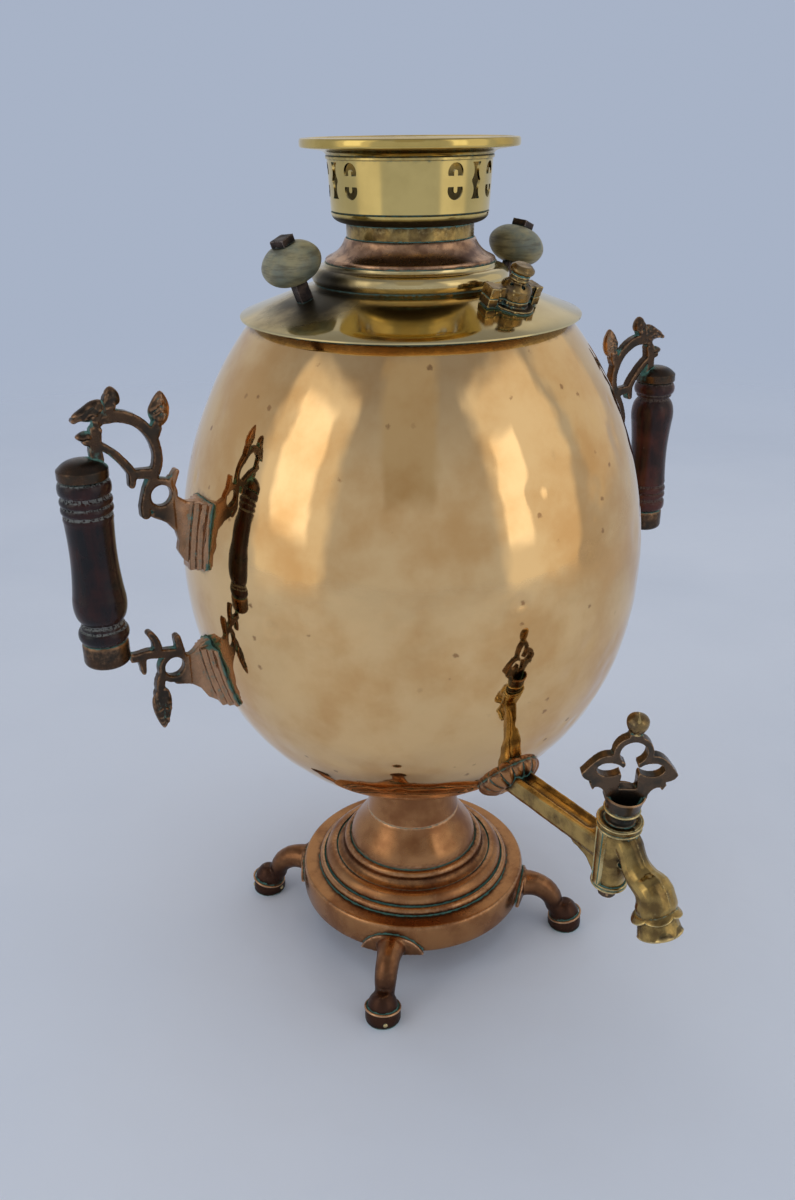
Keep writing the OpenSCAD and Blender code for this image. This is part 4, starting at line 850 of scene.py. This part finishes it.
buildEgg(egg)
dress("polishedTombak", "mouth_ring")
dress("mottledCopper", "fire_tube")
dress("rustyIron", "grate", "knob_nut_left", "knob_nut_right", "vent_pin", "spindle_left", "spindle_right")
dress("yellowBrass", "lid_bearing_ring")
dress("darkBronze", "plug_washer")
print("vessel ready")


# ---- Lid ----

lid = {
    "rimR": 86.04, "rimZ": 379.6, "sheet": 1.3, "coneTopR": 54.0, "coneRise": 12.2,
    "torusR": 49.4, "torusS": 4.3, "torusZ": 399.1, "topR": 43.0, "topZ": 405.3,
    "collarLipR": 42.2, "collarTopR": 32.2, "collarTopZ": 416.7, "collarHoleR": 30.7,
}
coneSlope = lid["coneRise"]/(lid["rimR"] - lid["coneTopR"])
coneAngle = math.degrees(math.atan(coneSlope))


def underCone(r):
    return lid["rimZ"] + (lid["rimR"] - r)*coneSlope


def onCone(r):
    return underCone(r) + lid["sheet"]


def buildLid(v):
    r, low, coneR, coneTop = v["rimR"], v["rimZ"], v["coneTopR"], onCone(v["coneTopR"])
    torus, s, z = v["torusR"] - v["torusS"], v["torusS"], v["torusZ"]
    topR, top, lip = v["topR"], v["topZ"], v["collarLipR"]
    outline = [(r - 0.6, underCone(r - 0.6)), (r, low + 0.4), (r, low + v["sheet"] - 0.2)]
    outline += [(edge, onCone(edge)) for edge in (r - 0.6, r - 8, r - 16, r - 24)]
    outline += bez((coneR, coneTop), (coneR - 2.6, coneTop + 0.9), (v["torusR"] - 1.0, coneTop + 0.5),
                   (v["torusR"] - 2.3, z - s + 0.7), 10)
    outline += arc((torus, z), s, -52, 86, 18)
    outline += traced(((torus, z + s), (topR + 0.8, z + s), (topR + 0.1, z + s + 0.5), (topR, top), 6),
                      (lip - 2.6, top), (lip - 2.6, z),
                      (coneR - 6, underCone(coneR) + 1), (coneR, underCone(coneR)))
    fit(turned("lidSheet", outline, 288), "lid", "brass", "lidBrass", "lid_disc")
    end, hole, high = v["collarTopR"], v["collarHoleR"], v["collarTopZ"]
    cone = traced((-0.5, 0.05), ((-0.1, 0.2), (0.3, 1.0), (0.1, 1.9), (-0.6, 2.2), 6), at=(lip, top))
    cone += traced(
        ((lip - 1.2, top + 2.5), (end + 3.6, top + 4.6), (end + 1.8, high - 4.2),
         (end + 0.2, high - 0.5), 14),
        (end - 0.3, high - 0.05), (hole + 0.2, high - 0.05),
        ((hole + 0.2, high - 0.6), (hole + 1.4, high - 4.4), (end + 2.2, top + 3.6),
         (lip - 2.6, top + 0.05), 8))
    fit(turned("lidCone", cone, 224, None, lambda a, rr, zz: (rr + 0.12*roundNoise(a, zz, 6, 3), zz)),
        "lid", "copper_patina", "mottledCopper", "lid_collar")


def onLid(turn, r):
    # Square to the lid's cone, on its upper face
    return vesselAxis @ spun("Z", turn - 90) @ moved(r, 0, onCone(r)) @ spun("Y", coneAngle)


knob = {"circleR": 59.4, "radius": 14.6, "thick": 18.0, "stand": 9.6, "boltR": 3.05, "handleTurn": -2.5}


def buildKnobs(v):
    half, flat, r, bolt = v["thick"]/2, v["boltR"] + 2.4, v["radius"], v["boltR"]
    outline = traced(
        (bolt, -half + 0.6), (flat - 0.8, -half),
        ((flat, -half), (r*0.66, -half + 0.4), (r*0.98, -half*0.55), (r, -0.3), 14),
        ((r, 0.3), (r*0.99, half*0.45), (r*0.68, half - 0.6), (flat, half), 14),
        (bolt + 0.4, half - 0.3), (bolt, half - 1))
    for side, label in ((-1, "left"), (1, "right")):
        place = onLid(side*90 + v["handleTurn"], v["circleR"]) @ moved(0, 0, v["stand"] + half)

        def worn(a, rr, z, seed=side*7):
            return rr + (roundNoise(a, z, 1.3, 16, seed)*0.45 if rr > flat else 0), z

        fit(turned("woodKnob_" + label, outline, 112, place, worn), "lid", "pale_wood", "paleWood",
            "knob_" + label)
        fit(cast("knobBolt_" + label, "knob_bolt_" + label, 0.4, 3,
                 lambda co: co + castDrift(co, 500, (0, 0, 0), (9, 0, 0), None)),
            "lid", "iron", "rustyIron", "knob_bolt_" + label)


def ventSculpt(co):
    return co + castDrift(co, 450, (0, 0, 0), (4, 0, 0), (0, 8, 0))


buildLid(lid)
buildKnobs(knob)
fit(cast("ventPlate", "vent_base", 0.3, 3, ventSculpt), "lid", "brass", "ventBronze", "vent_base")
fit(cast("ventLever", "vent_cap", 0.3, 3, ventSculpt), "vent", "brass", "ventBronze", "vent_cap")
print("lid ready")


# ---- Crown ----

crown = {
    "rimR": 53.0, "topZ": 461.9, "rimH": 4.3, "rimW": 2.8, "bandTopR": 40.0, "bandLowR": 38.7,
    "collarZ": 416.7, "collarR": 31.5, "cupZ": 423.5, "bandZ": 429.5, "flareZ": 452.5,
    "holeR": 30.2, "sheet": 1.3, "pierceR": 4.2, "pierceTurns": (16.5, 139.5, 262.0), "spread": 19.2,
    "pierceShare": 0.609, "eyeZ": 3.85, "eyeCutZ": 2.35, "tongueR": 1.0, "tongueZ": 4.0,
    "slotHalfW": 3.2, "slotWaist": 0.7, "slotReach": 8.0, "slotRim": 1.3,
}


def prism(name, points, turn, z, v):
    # A cutter through the band's front sheet, drawn as across and up
    place = vesselAxis @ spun("Z", turn - 90) @ moved(0, 0, z)
    count = len(points)
    verts = [place @ Vector((x*mm, across*mm, up*mm))
             for x in (v["bandLowR"] - 6, v["bandTopR"] + 6) for across, up in points]
    faces = [tuple(range(count))[::-1], tuple(range(count, 2*count))]
    faces += [(i, (i + 1) % count, count + (i + 1) % count, count + i) for i in range(count)]
    obj = newMesh(name, verts, faces)
    facingOut(obj)
    return obj


def eyeShape(flip, v):
    # Round above, cut off below with a tongue reaching in
    r, middle, cutZ, tongue = v["pierceR"], v["eyeZ"], v["eyeCutZ"], v["tongueR"]
    turn = math.degrees(math.asin((middle - cutZ)/r))
    points = arc((0, middle), r, -turn, 180 + turn, 26)
    points += [(-tongue, cutZ)] + arc((0, v["tongueZ"]), tongue, 180, 0, 10) + [(tongue, cutZ)]
    return [(x, y*flip) for x, y in points]


def slotShape(v):
    # The space between four round piercings' rims: waisted twice, pointed in the middle
    r, reach, steps = v["pierceR"], v["slotReach"], 40
    rim = r + v["slotRim"]
    side = []
    for y in [reach - 2*reach*i/steps for i in range(steps + 1)]:
        half = v["slotHalfW"]
        for centre in (r, -r):
            if abs(y - centre) < rim:
                half = min(half, r + 3.1 - math.sqrt(rim*rim - (y - centre)**2))
        side.append((max(half, v["slotWaist"]), y))
    return side + [(-x, y) for x, y in reversed(side)]


def buildBand(v):
    low, high = v["bandZ"], v["flareZ"]
    band = turned("crownBand", [(v["bandLowR"], low + 0.02), (v["bandTopR"], high - 0.02),
                                (v["bandTopR"] - v["sheet"], high - 0.02),
                                (v["bandLowR"] - v["sheet"], low + 0.02)], 256)
    mid = low + v["pierceShare"]*(high - low)
    cutters = []
    for turn in v["pierceTurns"]:
        cutters.append(prism("cutSlot", slotShape(v), turn, mid, v))
        cutters += [prism("cutEye", eyeShape(flip, v), turn + side*v["spread"], mid, v)
                    for side in (-1, 1) for flip in (-1, 1)]
    for cutter in cutters:
        cut = band.modifiers.new("cut", "BOOLEAN")
        cut.object = cutter
        cut.operation = "DIFFERENCE"
        cut.solver = "EXACT"
    applied(band)
    for cutter in cutters:
        bpy.data.objects.remove(cutter)
    reworked(band, lambda work: bmesh.ops.triangulate(
        work, faces=[face for face in work.faces if len(face.verts) > 4]))
    shade(band, 30)
    fit(band, "crown", "brass", "sootyBrass", "crown_band")


def buildCrown(v):
    buildBand(v)
    r, top, rimH, rimW = v["rimR"], v["topZ"], -v["rimH"], -v["rimW"]
    bt, z0, sheet, hole = v["bandTopR"], v["flareZ"], v["sheet"], v["holeR"]
    flare = traced((0.2, 0), (0.7, 0.3), (0.7, 1.3), (0.3, 1.7), at=(bt, z0))
    flare += bez((bt + 0.5, z0 + 2.0), (bt + 1.4, z0 + 4.4), (r - 7, top + rimH - 1.2),
                 (r - 2.6, top + rimH - 0.1), 12)
    flare += traced((-1.8, rimH), ((-0.8, rimH), (0, rimH + 0.2), (0, rimH + 1), (0, -2.4), 6),
                    ((0, -2.0), (0, -0.4), (-0.4, 0), (-1.4, 0), 6), (rimW - 0.2, -0.05), at=(r, top))
    flare += traced(((r + rimW - 0.8, top - 0.5), (r - 8, top - 1.4), (bt, z0 + 8), (bt - sheet, z0 + 3), 12),
                    (bt - sheet, z0))
    fit(turned("crownRim", flare, 256), "crown", "brass", "yellowBrass", "crown_flare")
    cr, cz, bl, bz = v["collarR"], v["cupZ"], v["bandLowR"], v["bandZ"]
    cup = traced(
        (hole + 0.1, cz),
        ((cr + 0.6, cz), (bl - 2.6, cz + 0.5), (bl - 0.3, cz + 2.2), (bl + 0.1, bz - 0.9), 10),
        (bl - 0.5, bz - 0.5), (bl - 0.4, bz), (bl - sheet, bz),
        ((bl - sheet - 0.2, bz - 0.6), (bl - 2.1, cz + 3.4), (bl - 4, cz + sheet + 0.6),
         (hole + 0.1, cz + sheet), 8))
    fit(turned("crownCup", cup, 224), "crown", "brass", "sootyBrass", "crown_cup")
    low = v["collarZ"]
    collar = rounded([(cr - 0.3, low + 0.02), (cr, low + 0.5), (cr, cz), (hole, cz), (hole, low + 0.02)], 0.3)

    def beaten(a, rr, z):
        return rr + (0.16*roundNoise(a, z, 7, 6) if rr > 31 else 0), z

    fit(turned("crownCollar", collar, 224, None, beaten), "crown", "brass", "tapBrass", "crown_collar")


buildCrown(crown)
print("crown ready")


# ---- Handles ----

handle = {
    "axisR": 175.5, "turn": -2.5, "midZ": 282.0, "gripL": 80.5, "gripR": 12.9, "holeR": 3.08,
    "capLow": 40.85, "capR": 11.7, "capEdge": 5.0, "capDome": 4.2, "ferruleR": 11.1, "ferruleH": 12.0,
    "castingSwell": 0.42, "padEnd": 135.0, "scrollStart": -52,
}


def handleAngle(side):
    return math.radians(side*90 + handle["turn"])


def handlePlace(side, z):
    out = outAndAcross(handleAngle(side))[0]*handle["axisR"]
    return vesselAxis @ moved(out.x, out.y, z)


def gripOutline(v):
    r, length = v["gripR"], v["gripL"]
    line = traced(
        ((-2.6, 0), (-0.8, 0.2), (-0.3, 2.4), (-0.8, 5.6), 8), (-1.5, 6.5), (-2.2, 6.8), (-2.2, 7.6),
        ((-1.7, 8.0), (-0.5, 8.4), (-0.5, 10.6), (-1.4, 11.3), 6),
        ((-1.9, 11.6), (-0.5, 12.2), (-0.5, 14.8), (-1.6, 15.4), 6),
        (-2.3, 15.9), (-2.3, 16.4), (-1.5, 16.9), (-1.3, 18.4),
        ((-1.5, 19), (-2.6, 36), (-2, 44), (-0.6, length - 24), 14), at=(r, 0))
    line += traced(
        ((-0.5, -23.6), (0.2, -19), (-0.2, -13), (-3, -10.4), 14), (-3.7, -9.6), (-3.7, -9.0),
        ((-3.1, -8.8), (-2.2, -8.4), (-2.2, -7.2), (-2.7, -6.8), 4), (-2.7, -6.5),
        ((-1.6, -6.3), (-0.4, -5), (-0.5, -1.4), (-2.4, 0), 10), at=(r, length))
    return line + [(v["holeR"], length), (v["holeR"], 0)]


def bracketSculpt(side):
    # Leaf texture near the leaves' middles (along, up, reach), thinner and uneven scrolls
    out, across = outAndAcross(handleAngle(side))
    textured = [(-37.8, 65.0, 8.5), (-7.5, 68.5, 9.5), (-25.2, -87.0, 10.5), (-15.2, 73.0, 4.0)]

    def work(co):
        flat = co - Vector((0, axisY, 0))
        x = flat.dot(out)/mm - handle["axisR"]
        t = flat.dot(across)/mm
        z = co.z/mm - handle["midZ"]
        push = Vector((0, 0, 0))
        if x > handle["scrollStart"]:
            face = 1 if t > 0 else -1
            thin = 0.88 + 0.10*noise.noise(Vector((x/9, z/9, 3)))
            for cx, cz, reach in textured:
                near = max(0.0, 1 - math.hypot(x - cx, z - cz)/reach)
                if near > 0:
                    lump = noise.noise(Vector((x/1.7, z/1.9, 5*face)))*1.1
                    push += across*face*lump*min(1, near*2.2)
                    push += (out*noise.noise(Vector((x/2.2, z/2.2, 8))) + Vector((0, 0, 1))
                             * noise.noise(Vector((x/2.2, z/2.2, 2))))*0.9*min(1, near*2)
            push += across*(t*thin - t)
        return co + push*mm + castDrift(co, 300, (0, 0, 0), (7, 0, 0), (0, 0, 0))
    return work


# Leaves and buds, drawn outwards from the grip's axis and upwards from its middle, with half a thickness
leaves = {
    "Beak": (((1.6, 69.3), (-3.2, 72.6), (-8, 75.2), (-12.6, 75), (-14, 70.6), (-8.4, 66.2), (-2, 66.8)),
             3.0, 0.5),
    "Bud": (((-13.9, 73), (-14.2, 78.2), (-17.2, 80.6), (-20.4, 77.6), (-20.6, 73), (-17, 71.4)), 2.9, 0.15),
    "Leaf": (((-36.6, 59), (-33.2, 65.7), (-35.2, 71), (-40, 75.6), (-43.4, 69), (-41.9, 61.7)), 2.7, 0.9),
    "Tip": (((1.2, 60), (-1.6, 57.6), (-6.2, 58.2), (-7, 60.8), (-3, 62.2)), 2.9, 0.15),
    "Hanging": (((-24.1, -73.8), (-19.6, -80.4), (-20.2, -89.4), (-24.3, -98.2), (-28.6, -89), (-29.2, -79.2)),
                2.9, 0.9),
}


def leafPiece(name, side, outline, thick, rough):
    # A closed pillow over a smooth outline, ridged across where it is rough
    out, across = outAndAcross(handleAngle(side))
    corners = len(outline)
    points = []
    for i in range(corners):
        p = [Vector(outline[(i + k) % corners]) for k in (-1, 0, 1, 2)]
        for t in (0, 0.2, 0.4, 0.6, 0.8):
            points.append(0.5*(2*p[1] + (p[2] - p[0])*t + (2*p[0] - 5*p[1] + 4*p[2] - p[3])*t*t
                               + (3*p[1] - p[0] - 3*p[2] + p[3])*t**3))
    middle = sum(points, Vector((0, 0)))/len(points)
    count = len(points)
    rings = (1.0, 0.93, 0.82, 0.68, 0.52, 0.36, 0.18)
    verts, faces = [], []
    for face in (-1, 1):
        start = len(verts)
        for share in rings + (0.0,):
            for x, z in ([middle + (q - middle)*share for q in points] if share else [middle]):
                t = 0.35 + thick*math.sqrt(1 - share*share)
                t += rough*(1 - share**4)*(0.6*math.sin(z*1.9 + 1.2*abs(x - middle.x))
                                           + 0.7*noise.noise(Vector((x/1.7, z/1.7, face))))
                verts.append(Vector((0, axisY, (z + handle["midZ"])*mm)) + out*(x + handle["axisR"])*mm
                             + across*face*max(t, 0.3)*mm)
        for ring in range(len(rings) - 1):
            for i in range(count):
                k, n = start + ring*count + i, start + ring*count + (i + 1) % count
                faces.append((k, n, n + count, k + count))
        last = start + (len(rings) - 1)*count
        faces += [(last + i, last + (i + 1) % count, start + len(rings)*count) for i in range(count)]
    half = len(rings)*count + 1
    faces += [(i, (i + 1) % count, half + (i + 1) % count, half + i) for i in range(count)]
    piece = newMesh(name, verts, faces)
    facingOut(piece)
    shade(piece, 60)
    fit(piece, "vessel", "copper_patina", "darkBronze")


def buildHandle(side, label):
    v = handle
    for part in ("upper", "lower"):
        node = "%s_bracket_%s" % (part, label)
        piece = cast("%sBracket_%s" % (part, label), node, 0.5, 6, bracketSculpt(side))
        grown = [vert.normal*v["castingSwell"]*mm for vert in piece.data.vertices]
        for vert, push in zip(piece.data.vertices, grown):
            # The pads on the shell keep their size
            if math.hypot(vert.co.x, vert.co.y - axisY) > v["padEnd"]*mm:
                vert.co = vert.co + push
        fit(piece, "vessel", "copper_patina", "darkBronze", node)
    for leaf, (outline, thick, rough) in leaves.items():
        leafPiece("handle%s_%s" % (leaf, label), side, outline, thick, rough)
    outline = [(r, side*z) for r, z in gripOutline(v)]  # the left grip hangs the other way up
    place = handlePlace(side, v["midZ"] - side*v["gripL"]/2)
    fit(turned("grip_%s_turned" % label, outline, 112, place), "%s_grip" % label, "lacquered_wood",
        "lacqueredWood" if side < 0 else "redLacquer", "grip_" + label)
    low, r, edge, dome = v["capLow"], v["capR"], v["capEdge"], v["capDome"]
    cap = traced((0, 0), (r - 0.4, 0), (r, 0.5), (r, edge - 0.5), (r - 0.4, edge),
                 ((r - 0.8, edge + 0.3), (r*0.72, edge + dome*0.75), (5, edge + dome), (0, edge + dome), 10),
                 at=(0, low))
    r, h = v["ferruleR"], v["ferruleH"]
    ferrule = [(0, -h), (r - 2.6, -h)] + arc((r - 2.6, 2.6 - h), 2.6, -90, 0, 8)
    ferrule += [(r, -1.6), (r - 0.3, -0.4), (r - 0.8, 0), (0, 0)]
    for name, outline, z, node in (("gripCap_", rounded(cap, 0.35, False), v["midZ"], "handle_cap_"),
                                   ("gripFerrule_", ferrule, v["midZ"] - low, "ferrule_")):
        fit(turned(name + label, outline, 96, handlePlace(side, z)), "vessel", "copper_patina", "darkBronze",
            node + label)


buildHandle(-1, "left")
buildHandle(1, "right")
print("handles ready")


# ---- Tap ----

tap = {
    "axisZ": 150.2, "reach": 169.053, "lean": 5.5, "rosetteR": 17.6, "rosetteH": 6.5, "petals": 16,
    "housingUp": 20.5, "housingDown": 19.5, "housingTopR": 9.7, "housingLowR": 7.4,
    "channelW": 4.3, "channelDeep": 2.1, "cupLow": 25.1, "keyMid": 49.3, "lobeRise": 10.2, "lobeR": 6.2,
    "bar": 3.0, "ballR": 5.0,
    "outletLean": 22, "mouth": (32.5, 0, -26), "stripThick": 1.2,
}
plugY = axisY - tap["reach"]*mm
# X outwards along the tap, Z up, the origin where the plug's axis meets the tap's
tapPlace = Matrix.Translation((0, plugY, tap["axisZ"]*mm)) @ spun("Z", -90)
leanPlace = tapPlace @ spun("Y", tap["lean"])


def tapSculpt(co):
    x = (plugY - co.y)/mm
    t = co.x/mm
    z = co.z/mm - tap["axisZ"]
    if x < -10 and z > 5.2 and abs(t) < tap["channelW"]:
        ends = min(1, max(0, (-11.5 - x)/5))
        bowl = 1 - (t/tap["channelW"])**2
        co = co - Vector((0, 0, tap["channelDeep"]*mm*bowl*ends))
    if x > 9:
        hollow = 2.8*math.exp(-((x - 17)**2 + (z - 5)**2)/50)*min(1, (x - 9)/5)
        knee = 2.2*math.exp(-((x - 29)**2 + (z + 7)**2)/60)
        co = co + Vector((0, 0.55*hollow - 0.8*knee, 0.6*knee - 0.83*hollow))*mm
    if x > 9 and z > -10 and abs(t) < 0.7:
        co = co + Vector((0, -0.25, 0.35))*mm*(1 - abs(t)/0.7)
    return co + castDrift(co, 260, (0, 0, 0), (3, 0, 0), (0, 0, 0))


def petalRing(v):
    at, z = eggRadius(v["axisZ"]), v["axisZ"]
    fall = math.degrees(math.atan(eggSlope(z)))
    place = vesselAxis @ spun("Z", -90) @ moved(at, 0, z) @ spun("Y", 90 + fall)
    r, h = v["rosetteR"], v["rosetteH"]
    outline = traced((r - 4, -5), (r - 0.6, -4), (r, -0.6), (r + 0.1, 0.5),
                     ((r - 0.2, 1.1), (r - 1, h*0.62), (r - 6, h), (9.4, h), 16),
                     (8.6, h + 0.2), (8.2, h - 0.6), (8.2, -5))

    def fluted(a, rr, z):
        if rr < 9.0 or z < 0.4:
            return rr, z
        ridge = abs(math.sin(a*v["petals"]/2))
        share = min(1, (rr - 8.6)/3)*min(1, (r + 0.6 - rr)/1.2 + 0.35)
        lift = (ridge**0.5 - 0.72)*1.5*share
        return rr + lift*0.5, z + lift

    fit(turned("tapRosette", outline, 320, place, fluted), "vessel", "copper_patina", "brownCopper",
        "tap_rosette")


def nozzlePieces(v):
    # Z runs up the outlet from its mouth
    place = tapPlace @ moved(*v["mouth"]) @ spun("Y", 180 - v["outletLean"]) @ spun("X", 180)
    skirt = traced((6.4, 9.6), (8.6, 9.4), ((9.3, 8.6), (8.6, 5.6), (9.4, 3.2), (10.8, 1.0), 10),
                   (11.2, 0.3), (10.8, -0.5), (9.9, -0.7), (8.4, 0.2), (6.4, 1.4))
    collar = traced((7.6, 11.8), (9.4, 12.0), ((10.4, 11.8), (11.4, 11.2), (12.1, 10.4), (12.2, 9.8), 6),
                    (11.6, 9.2), (10.2, 9.0), (7.6, 9.6))

    def fluted(a, rr, z):
        if rr < 7.2:
            return rr, z
        wave = abs(math.cos(2.5*a))**0.7
        grow = 0.35 + 0.65*(1 - min(max(z, 0), 9)/9)
        return rr*(1 - 0.19*(1 - wave)*grow), z + (1.2*(wave - 0.6) if z < 2 else 0)

    def scalloped(a, rr, z):
        if rr < 9:
            return rr, z
        wave = abs(math.cos(2.5*a))**0.8
        return rr*(1 - 0.09*(1 - wave)), z - 1.5*wave*min(1, (rr - 9)/2.4)

    fit(turned("spoutNozzle", skirt, 200, place, fluted), "vessel", "tap_bronze", "nozzleBrass")
    fit(turned("spoutCollar", collar, 200, place, scalloped), "vessel", "tap_bronze", "tapBrass")


def housingStrips(v):
    rows, cols = 24, 12
    length = v["housingUp"] + v["housingDown"]
    for side, label in ((-1, "A"), (1, "B")):
        verts = []
        for i in range(rows + 1):
            z = -v["housingDown"] + 2.4 + (length - 6.4)*i/rows
            r = v["housingLowR"] + (v["housingTopR"] - v["housingLowR"])*(z + v["housingDown"])/length
            for j in range(cols + 1):
                a = math.radians(side*(118 - 36*j/cols))
                s = abs(2*j/cols - 1)
                lift = 0.75 if s < 0.62 else (0.15 if s < 0.80 else (0.95 if s < 0.95 else -0.4))
                verts.append(leanPlace @ (Vector(((r + lift)*math.cos(a), (r + lift)*math.sin(a), z))*mm))
        corners = [i*(cols + 1) + j for i in range(rows) for j in range(cols)]
        faces = [(k, k + 1, k + cols + 2, k + cols + 1) for k in corners]
        strip = newMesh("housingStrip" + label, verts, faces)
        thick = strip.modifiers.new("thick", "SOLIDIFY")
        thick.thickness = v["stripThick"]*mm
        thick.offset = 0
        applied(strip)
        shade(strip, 50)
        fit(strip, "vessel", "tap_bronze", "tapBrass")


def buildTap(v):
    petalRing(v)
    fit(cast("tapCast", "tap_body", 0.55, 4, tapSculpt), "vessel", "tap_bronze", "tapBrass", "tap_body")
    top, low, topR, lowR = v["housingUp"], -v["housingDown"], v["housingTopR"], v["housingLowR"]
    cup = v["cupLow"]
    for name, r, z, thick, body, slot in (
            ("housingBead0", topR + 0.9, top - 0.6, 0.55, "vessel", "tap_bronze"),
            ("housingBead1", topR + 0.7, top - 3.9, 0.55, "vessel", "tap_bronze"),
            ("housingBead2", lowR + 1.0, low + 0.7, 0.55, "vessel", "tap_bronze"),
            ("housingBead3", lowR + 0.8, low + 2.4, 0.55, "vessel", "tap_bronze"),
            ("keyCupRim", 8.1, cup + 1.5, 0.7, "tap", "dark_bronze")):
        fit(turned(name, arc((r, z), thick, 0, 330, 11), 96, leanPlace), body, slot, "tapBrass")
    nozzlePieces(v)
    housingStrips(v)
    fit(cast("plugCast", "tap_plug", 0.45, 3), "tap", "dark_bronze", "keyBronze", "tap_plug")
    fit(cast("keyCast", "tap_key", 0.35, 4), "tap", "dark_bronze", "keyBronze", "tap_key")
    outline = traced((0, 1.2), (6.4, 1.2), ((7.6, 1.4), (8.6, 4), (8.6, 7), (9.7, 9.6), 8), (9.2, 10.0),
                     ((8.4, 9.4), (7.4, 6.4), (7.2, 4.4), (5, 3.2), 8), (0, 3.0), at=(0, cup))
    fit(turned("keyCup", outline, 96, leanPlace), "tap", "dark_bronze", "keyBronze")
    r = v["ballR"]
    ball = traced((0, 0), (2.8, 0), (2.8, 0.5),
                  ((2.7, 0.8), (r - 1.0, 1.8), (r + 0.3, 4.4), (r + 0.1, 6.6), 12),
                  ((r + 0.1, 6.8), (r - 0.3, 9), (2.6, 10), (0, 10), 10),
                  at=(0, v["keyMid"] + v["lobeRise"] + v["lobeR"] + v["bar"] + 0.6))
    fit(turned("keyBall", ball, 72, leanPlace), "tap", "tap_bronze", "ventBronze", "key_ball")


buildTap(tap)
print("tap ready")
